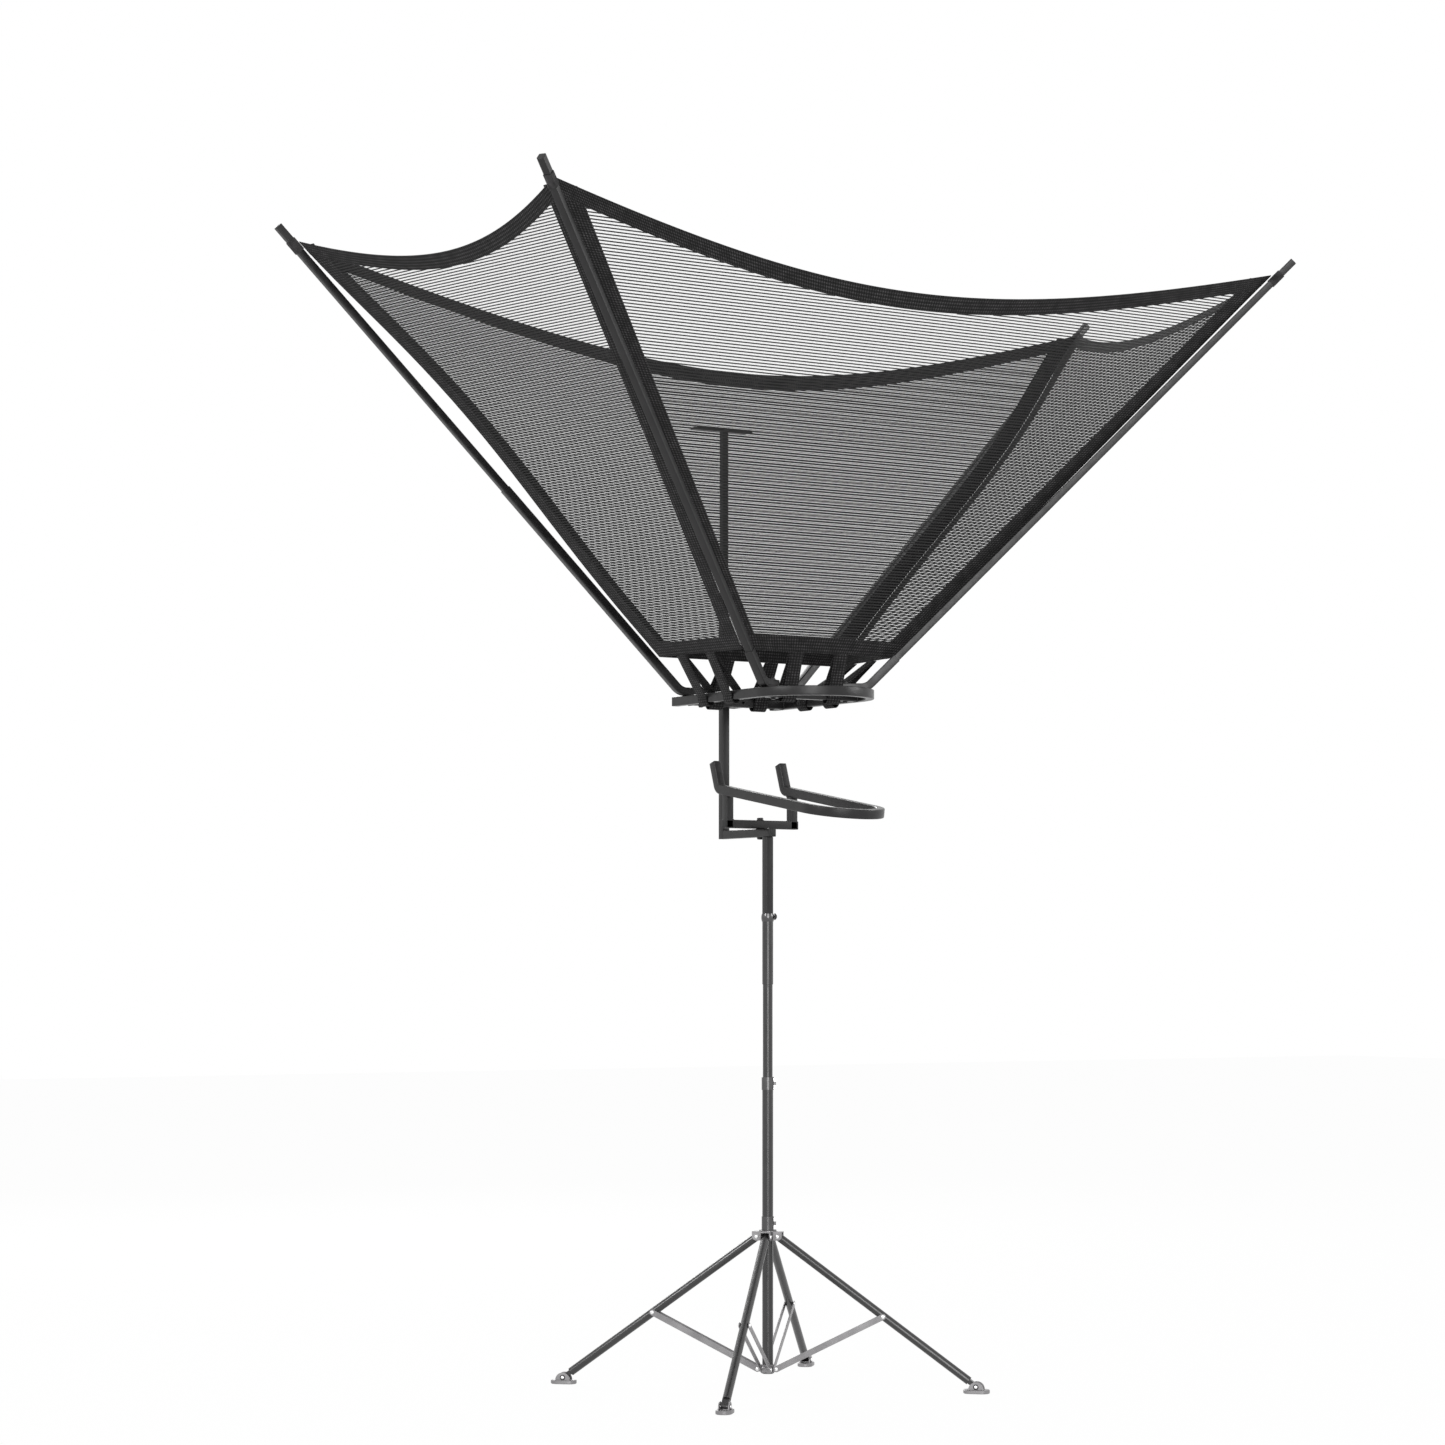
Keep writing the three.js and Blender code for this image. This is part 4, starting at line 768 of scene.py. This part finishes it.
def ring_rail():
    places = [(-RING_HALF, RING_END_Y, 0)]
    for k in range(49):
        angle = math.pi * k / 48
        places.append((-RING_HALF * math.cos(angle), FRONT_BAR_Y - RING_HALF * math.sin(angle), angle))
    places.append((RING_HALF, RING_END_Y, math.pi))
    stations = []
    for x, y, angle in places:
        way = Vector((math.sin(angle), -math.cos(angle), 0))
        stations.append((mm(x, y, RING_Z), way, way.cross(Z)))
    shape = Shape()
    sweep(shape, stations, RAIL)
    shape.stand_in("ring_tube", "head", [PAINT])
    shape = Shape()
    sweep(shape, straight(mm(-166.2, FRONT_BAR_Y, RING_Z), mm(166.2, FRONT_BAR_Y, RING_Z), Y), RAIL)
    shape.stand_in("ring_front_bar", "head", [PAINT])


# Each row of arms: its tip, its bar, the height of the step between its two lengths, and the insert
ARMS = {"back": (BACK_TIP, BACK_BAR_Y, 2691, 90), "front": (FRONT_TIP, FRONT_BAR_Y, 2200, 60)}


def arm_ways(tip, bar_y, sign):
    """An arm's level outward direction and the one across it."""
    plan = Vector((tip[0] - ARM_BOLT_X, tip[1] - bar_y, 0)).normalized()
    way = Vector((plan.x * sign, plan.y, 0))
    return way, Vector((way.y, -way.x, 0))


def arms():
    run = TIP_Z - ROOT_Z
    bend_radius = 0.045
    for row, (tip, bar_y, step, insert) in ARMS.items():
        plan = Vector((tip[0] - ARM_BOLT_X, tip[1] - bar_y, 0))
        back = plan.length - run + ARM_BACK
        elbow = Vector((tip[0], tip[1], 0)) - plan.normalized() * run
        reach = (step - ROOT_Z) / 1000 * math.sqrt(2)
        for name, sign in SIDES:
            way, side = arm_ways(tip, bar_y, sign)
            base = mm(elbow.x * sign, elbow.y, ROOT_Z)
            rise = (way + Z).normalized()
            line = [base - way * back / 1000, base, base + rise * reach]
            shape = Shape()
            sweep(shape, bent(line, bend_radius, side), rounded(25, 25, 2.6))
            shape.stand_in(f"arm_lower_{row}_{name}", "head", [PAINT])
            start = base + rise * (reach - insert / 1000)
            end = base + rise * (run / 1000 * math.sqrt(2))
            shape = Shape()
            sweep(shape, straight(start, end, side), rounded(21, 21, 2.4))
            shape.stand_in(f"arm_upper_{row}_{name}", f"arm_{row}_{name}", [PAINT])


# Chute


def chute_height(y):
    return CHUTE_RISE + y * math.tan(CHUTE_SLOPE)


def stub_end():
    """The top of the chute's upturned back end, as y and z."""
    bend_z = chute_height(CHUTE_BEND_Y)
    return (CHUTE_BEND_Y + STUB_LENGTH * math.sin(STUB_LEAN), bend_z + STUB_LENGTH * math.cos(STUB_LEAN))


def chute():
    forward = Vector((0, -math.cos(CHUTE_SLOPE), -math.sin(CHUTE_SLOPE)))
    bend = (CHUTE_BEND_Y, chute_height(CHUTE_BEND_Y))
    front = (CHUTE_ARC_Y, chute_height(CHUTE_ARC_Y))
    left = bent([mm(-CHUTE_HALF, *place) for place in (stub_end(), bend, front)], 0.022, -X)[:-1]
    stations = list(left)
    centre = mm(0, *front)
    for k in range(41):
        angle = math.pi * k / 40
        way = forward * math.cos(angle) + X * math.sin(angle)
        out = forward * math.sin(angle) - X * math.cos(angle)
        stations.append((centre + out * (CHUTE_HALF / 1000), way, out))
    flip = Vector((-1, 1, 1))
    stations += [(point * flip, -(way * flip), side * flip) for point, way, side in reversed(left)]
    shape = Shape()
    sweep(shape, stations, RAIL)
    shape.stand_in("chute_tube", "chute", [PAINT])


def chute_bracket():
    base = L_BAR_UNDER + TUBE + GAP
    top = chute_height(BRACKET_Y) - RAIL_HIGH / 2 / math.cos(CHUTE_SLOPE) - GAP
    middle = base + TUBE / 2
    shape = Shape()
    ends = [mm(x, BRACKET_Y, middle) for x in (-BRACKET_END_X, BRACKET_END_X)]
    sweep(shape, straight(*ends, Y), SQUARE)
    for x in (-UPRIGHT_X, UPRIGHT_X):
        sweep(shape, straight(mm(x, BRACKET_Y, base), mm(x, BRACKET_Y, top), X), SQUARE)
    shape.stand_in("chute_bracket", "chute", [PAINT])


# Collars, knob and hub trim


def clamp(name, body, bottom, step, top, high):
    """A split collar with a stepped bore, its two lugs and their two bolts."""
    turn = Matrix.Rotation(CLAMP_TURN, 3, "Z")
    out, beside = turn @ X, turn @ Y
    low, outer, lug, lug_root, lug_thick = 16.8, 18.4, 24.9, 17.6, 3
    profile = [(low, step), (high, step), (high, top), (outer - 0.4, top), (outer, top - 0.4),
               (outer, bottom + 0.4), (outer - 0.4, bottom), (low, bottom)]
    if high == low:
        profile = profile[2:]
    shape = Shape()
    slit = math.asin(1.2 / 17)
    rings = []
    for k in range(61):
        angle = slit + (2 * math.pi - 2 * slit) * k / 60
        radial = out * math.cos(angle) + beside * math.sin(angle)
        rings.append([mm(0, 0, z) + radial * r / 1000 for r, z in profile])
    shape.loop_strip(rings)
    corners = [(lug_root, bottom + 3), *arc((lug - 2, bottom + 5), 2, -90, 0, 5),
               *arc((lug - 2, top - 5), 2, 0, 90, 5), (lug_root, top - 3)]
    for near in (-4.2, 1.2):
        plate(shape, FOOT_OF_MAST, out, Z, corners, near, near + lug_thick, 0.4)
    for part_way in (0.22, 0.78):
        centre = mm(0, 0, bottom + part_way * (top - bottom)) + out * 21.65 / 1000
        turned(shape, [(2.6, -4.5), (2.6, 4.5)], centre, beside, 16, slot=1)
        for sign in (-1, 1):
            nut(shape, centre + beside * sign * 4.1 / 1000, beside * sign, 4.4, 4.4, 1)
    shape.stand_in(name, body, [COLLAR, BRIGHT])


def collars():
    clamp("mid_collar", "stand", 903, 925.3, 942, 15.1)
    clamp("hub_collar", "hub", 478.8, 520.8, 520.8, 16.8)


def knob():
    """A knob with twelve lobes: radius, distance from the mast's axis and depth of the lobes."""
    out = Matrix.Rotation(CLAMP_TURN, 3, "Z") @ X
    centre, side = mm(0, 0, 1427), out.cross(Z).normalized()
    rings = []
    for radius, reach, lobes in ((3, 15.1, 0), (3, 19.9, 0), (9.6, 19.9, 0.3), (10.5, 20.6, 0.6),
                                 (10.5, 22.6, 0.6), (8.6, 24.4, 0.4), (5.2, 26.8, 0), (3.8, 27.9, 0)):
        section = []
        for k in range(72):
            angle = 2 * math.pi * k / 72
            size = radius - lobes * (0.5 - 0.5 * math.cos(12 * angle))
            around = Z * math.sin(angle) * size
            section.append(centre + (out * reach - side * math.cos(angle) * size + around) / 1000)
        rings.append(section)
    shape = Shape()
    shape.loop_strip(rings)
    shape.stand_in("top_knob", "knob", [PLASTIC], "black_plastic")


def hub_trim():
    shape = Shape()
    washer = [(17.2, 478.5), (27.2, 478.5), (27.5, 478.7), (27.5, 479.6), (27.2, 479.8), (18.9, 479.8)]
    turned(shape, washer, FOOT_OF_MAST, wrap=True)
    for i in range(4):
        out, beside = leg_frame(i)
        for sign in (-1, 1):
            place = mm(0, 0, HUB_PIN[1]) + (out * HUB_PIN[0] + beside * sign * 15.5) / 1000
            dome(shape, place, beside * sign, slot=1)
    shape.build("leg_hub_trim", "hub", [DARK, BRIGHT], smooth=35, slot="grey_zinc")


# Braces and feet


def braces():
    """Pairs of flat bars from the bottom collar to a rivet 400 mm down the leg."""
    length, rivet_along_leg, bar_end = 365.418, 400, 9
    leg_way = Vector((FOOT_PIN[0] - HUB_PIN[0], FOOT_PIN[1] - HUB_PIN[1])).normalized()
    far = Vector(HUB_PIN) + leg_way * rivet_along_leg
    way = (far - Vector(COLLAR_PIN)) / length
    outline = [*arc((length, 0), bar_end, -90, 90, 12), *arc((0, 0), bar_end, 90, 270, 12)]
    for i, name in enumerate(LEG_NAMES):
        out, beside = leg_frame(i)
        along = out * way.x + Z * way.y
        up = beside.cross(along) * -1
        pin = mm(0, 0, COLLAR_PIN[1]) + out * COLLAR_PIN[0] / 1000
        rivet = pin + along * length / 1000
        normal = along.cross(up)
        shape = Shape()
        for near in (-EAR_FACE - EAR_THICK, EAR_FACE):
            plate(shape, pin, along, up, outline, near, near + EAR_THICK, 0.45)
        turned(shape, [(4, -EAR_FACE - 1), (4, EAR_FACE + 1)], pin, normal, 24, slot=1)
        for place in (pin, rivet):
            for sign in (-1, 1):
                dome(shape, place + normal * sign * (EAR_FACE + EAR_THICK) / 1000, normal * sign, slot=1)
        shape.stand_in(f"brace_{name}", f"brace_{name}", [ZINC, BRIGHT], "grey_zinc")


def feet():
    """A long round-ended sole with two ears that hold the leg's tongue on a pin."""
    sole = [*arc((16, 0), 24, -90, 90, 20), *arc((-16, 0), 24, 90, 270, 20)]
    ear = [*arc((0, 12), 23, 0, 180, 24), (-23, 9), (23, 9)]
    for i, name in enumerate(LEG_NAMES):
        out, beside = leg_frame(i)
        centre = FOOT_OF_MAST + out * FOOT_PIN[0] / 1000
        shape = Shape()
        plate(shape, centre, out, beside, sole, 0, 12, 2)
        for near in (-EAR_FACE - EAR_THICK, EAR_FACE):
            plate(shape, centre, out, Z, ear, near, near + EAR_THICK, 0.45)
        pin = centre + Z * FOOT_PIN[1] / 1000
        turned(shape, [(3.5, -EAR_FACE - 1), (3.5, EAR_FACE + 1)], pin, beside, 20, slot=1)
        for sign in (-1, 1):
            face = pin + beside * sign * (EAR_FACE + EAR_THICK) / 1000
            turned(shape, [(8.2, -0.2), (8.4, 0.3), (8.1, 0.9)], face, beside * sign, 24, slot=2)
            dome(shape, face + beside * sign * 0.0006, beside * sign, 5.6, slot=1)
        shape.stand_in(f"foot_{name}", f"foot_{name}", [ZINC, BRIGHT, DARK], "grey_zinc")


# Bolts


def u_bolt():
    half, nut_y, end_y, bend_y = 16.9, 223.8, 214.8, 257.9
    circle = [(4 * math.cos(2 * math.pi * k / 20), 4 * math.sin(2 * math.pi * k / 20)) for k in range(20)]
    line = [mm(x, y, RING_Z) for x, y in ((-half, end_y), (-half, bend_y), (half, bend_y), (half, end_y))]
    shape = Shape()
    sweep(shape, bent(line, 0.006, Z, 8), circle, 0.5)
    for x in (-half, half):
        nut(shape, mm(x, nut_y, RING_Z), -Y, 7, 6)
    shape.stand_in("post_u_bolt", "head", [DARK], "grey_zinc")


def pivot_bolt():
    seat, under, end = 1719.3, 1668, 1661
    shape = Shape()
    nut(shape, mm(0, BRACKET_Y, seat), Z, 10, 8)
    turned(shape, [(5, end), (5, seat + 2)], mm(0, BRACKET_Y, 0), Z, 24)
    nut(shape, mm(0, BRACKET_Y, under), -Z, 9.7, 6.5)
    shape.stand_in("chute_pivot_bolt", "head", [DARK], "grey_zinc")


def arm_bolts():
    top, under = (ROOT_Z + 12.8) / 1000, (RING_Z - 14.3) / 1000
    for row, (_, bar_y, _, _) in ARMS.items():
        for name, sign in SIDES:
            shape = Shape()
            place = mm(sign * ARM_BOLT_X, bar_y, 0)
            nut(shape, place + Z * top, Z, 6.5, 5)
            nut(shape, place + Z * under, -Z, 6.5, 5)
            turned(shape, [(3, 0), (3, (top - under) * 1000)], place + Z * under, Z, 16)
            shape.stand_in(f"arm_bolt_{row}_{name}", "head", [DARK], "grey_zinc")


# Plugs and weld beads


def square_loop(centre, one, two, width, height):
    """The corner points of a rounded square round a centre, in metres."""
    return [centre + (one * x + two * y) / 1000 for x, y in rounded(width, height, 2.4, 2)]


def head_trim():
    plugs, beads = Shape(), Shape()
    for x in (-RING_HALF, RING_HALF):
        plug(plugs, mm(x, RING_END_Y, RING_Z), Y, X, RAIL_WIDE, RAIL_HIGH)
    plug(plugs, mm(0, L_BAR_END_Y, L_BAR_Z), -Y, X, TUBE, TUBE)
    plugs.build("head_plugs", "head", [PLASTIC], smooth=35, slot="black_plastic")
    for sign in (-1, 1):
        for bar_y in (FRONT_BAR_Y, BACK_BAR_Y):
            weld(beads, spaced(square_loop(mm(sign * 167.2, bar_y, RING_Z), Y, Z, 24.6, 27.6)), X)
    line = [mm(-11, 228.2, 1693.7), mm(11, 228.2, 1693.7)]
    weld(beads, spaced(line, closed=False), Z, 2.0, False)
    beads.build("head_welds", "head", [PAINT], smooth=50, slot="black_paint")

    beads = Shape()
    weld(beads, spaced(square_loop(mm(0, POST_Y, 2925.8), X, Y, 20.8, 20.8)), Z, 1.7)
    beads.build("hook_welds", "post_top", [PAINT], smooth=50, slot="black_paint")


def chute_trim():
    plugs, beads = Shape(), Shape()
    stub_way = Vector((0, math.sin(STUB_LEAN), math.cos(STUB_LEAN)))
    under = RAIL_HIGH / 2 / math.cos(CHUTE_SLOPE) + 0.15
    tilt = Vector((0, 1, math.tan(CHUTE_SLOPE))).normalized()
    for sign in (-1, 1):
        plug(plugs, mm(sign * CHUTE_HALF, *stub_end()), stub_way, X, RAIL_WIDE, RAIL_HIGH)
        plug(plugs, mm(sign * BRACKET_END_X, BRACKET_Y, 1706.4), X * sign, Y, TUBE, TUBE)
        top = mm(sign * UPRIGHT_X, BRACKET_Y, chute_height(BRACKET_Y) - under)
        weld(beads, spaced(square_loop(top, X, tilt, 25.4, 25.6)), X.cross(tilt))
        line = [mm(sign * 104.2, y, 1719.2) for y in (30, 52)]
        weld(beads, spaced(line, closed=False), Z, 2.4, False)
    plugs.build("chute_plugs", "chute", [PLASTIC], smooth=35, slot="black_plastic")
    beads.build("chute_welds", "chute", [PAINT], smooth=50, slot="black_paint")


def arm_trim():
    for row, (tip, bar_y, _, _) in ARMS.items():
        for name, sign in SIDES:
            way, side = arm_ways(tip, bar_y, sign)
            shape = Shape()
            plug(shape, mm(tip[0] * sign, tip[1], TIP_Z), (way + Z).normalized(), side, 21, 21)
            shape.build(f"arm_plug_{row}_{name}", f"arm_{row}_{name}", [PLASTIC], smooth=35,
                        slot="black_plastic")
            shape = Shape()
            plug(shape, mm(sign * ARM_BOLT_X, bar_y, ROOT_Z) - way * (ARM_BACK / 1000), -way, side, 25, 25)
            shape.build(f"arm_foot_plug_{row}_{name}", "head", [PLASTIC], smooth=35, slot="black_plastic")


for make in (net, straps, tubes, top_collar, legs, post, ring_rail, chute, chute_bracket, arms, collars, knob,
             hub_trim, braces, feet, u_bolt, pivot_bolt, arm_bolts, head_trim, chute_trim, arm_trim):
    make()


# Materials of the solids that stay

FINISH = {"black_paint": PAINT, "grey_zinc": ZINC, "black_plastic": PLASTIC, "webbing": WEBBING,
          "mesh": THREAD}
for part in frame["record"]["subparts"]:
    node = frame["nodes"][part["node"]]
    for slot in node.material_slots:
        slot.material = FINISH[part["material_slot"]]


# Studio


def light(name, place, target, size, power):
    data = bpy.data.lights.new(name, "AREA")
    data.energy = power
    data.shape = "RECTANGLE"
    data.size, data.size_y = size
    lamp = bpy.data.objects.new(name, data)
    lamp.location = place
    lamp.rotation_euler = (Vector(target) - Vector(place)).to_track_quat("-Z", "Y").to_euler()
    bpy.context.scene.collection.objects.link(lamp)


def pale(tree, surface, white, strength):
    """Shows white to the camera and to gloss, and lights the rest with the surface."""
    path = add(tree, "ShaderNodeLightPath")
    seen = sums(tree, "MAXIMUM", path.outputs["Is Camera Ray"], path.outputs["Is Glossy Ray"])
    seen = sums(tree, "MAXIMUM", seen, path.outputs["Is Transmission Ray"])
    mix = tree.nodes.new("ShaderNodeMixShader")
    tree.links.new(sums(tree, "MULTIPLY", seen, strength), mix.inputs[0])
    tree.links.new(surface, mix.inputs[1])
    tree.links.new(white, mix.inputs[2])
    return mix.outputs[0]


def backdrop():
    world = bpy.data.worlds.new("studio")
    world.use_nodes = True
    bpy.context.scene.world = world
    tree = world.node_tree
    soft = add(tree, "ShaderNodeBackground", Color=(1, 1, 1, 1), Strength=0.35)
    white = add(tree, "ShaderNodeBackground", Color=(1, 1, 1, 1), Strength=1.0)
    seen = pale(tree, soft.outputs[0], white.outputs[0], 1.0)
    tree.links.new(seen, tree.nodes["World Output"].inputs[0])


def ground():
    reach = 30.0
    corners = [(x * reach, y * reach, 0) for x, y in ((-1, -1), (1, -1), (1, 1), (-1, 1))]
    mesh = bpy.data.meshes.new("floor")
    mesh.from_pydata(corners, [], [(0, 1, 2, 3)])
    floor = bpy.data.objects.new("floor", mesh)
    bpy.context.scene.collection.objects.link(floor)
    material, tree, shader = new_material("floor")
    shader.inputs["Base Color"].default_value = (0.85, 0.85, 0.85, 1)
    shader.inputs["Roughness"].default_value = 0.9
    glow = add(tree, "ShaderNodeEmission", Color=(1, 1, 1, 1), Strength=1.0)
    seen = pale(tree, shader.outputs[0], glow.outputs[0], 0.97)
    tree.links.new(seen, tree.nodes["Material Output"].inputs[0])
    mesh.materials.append(material)


light("front", (-6.3, -12.0, 4.6), (0, 0, 1.9), (7.0, 9.0), 950)
light("left", (-8.0, -0.8, 5.4), (0, 0, 1.2), (2.4, 2.4), 260)
light("right", (7.0, -5.0, 4.4), (0, 0, 1.6), (2.4, 3.0), 220)
light("back", (2.5, 8.0, 5.5), (0, 0, 1.8), (4.0, 4.0), 420)
backdrop()
ground()
bpy.context.scene.view_settings.view_transform = "Standard"
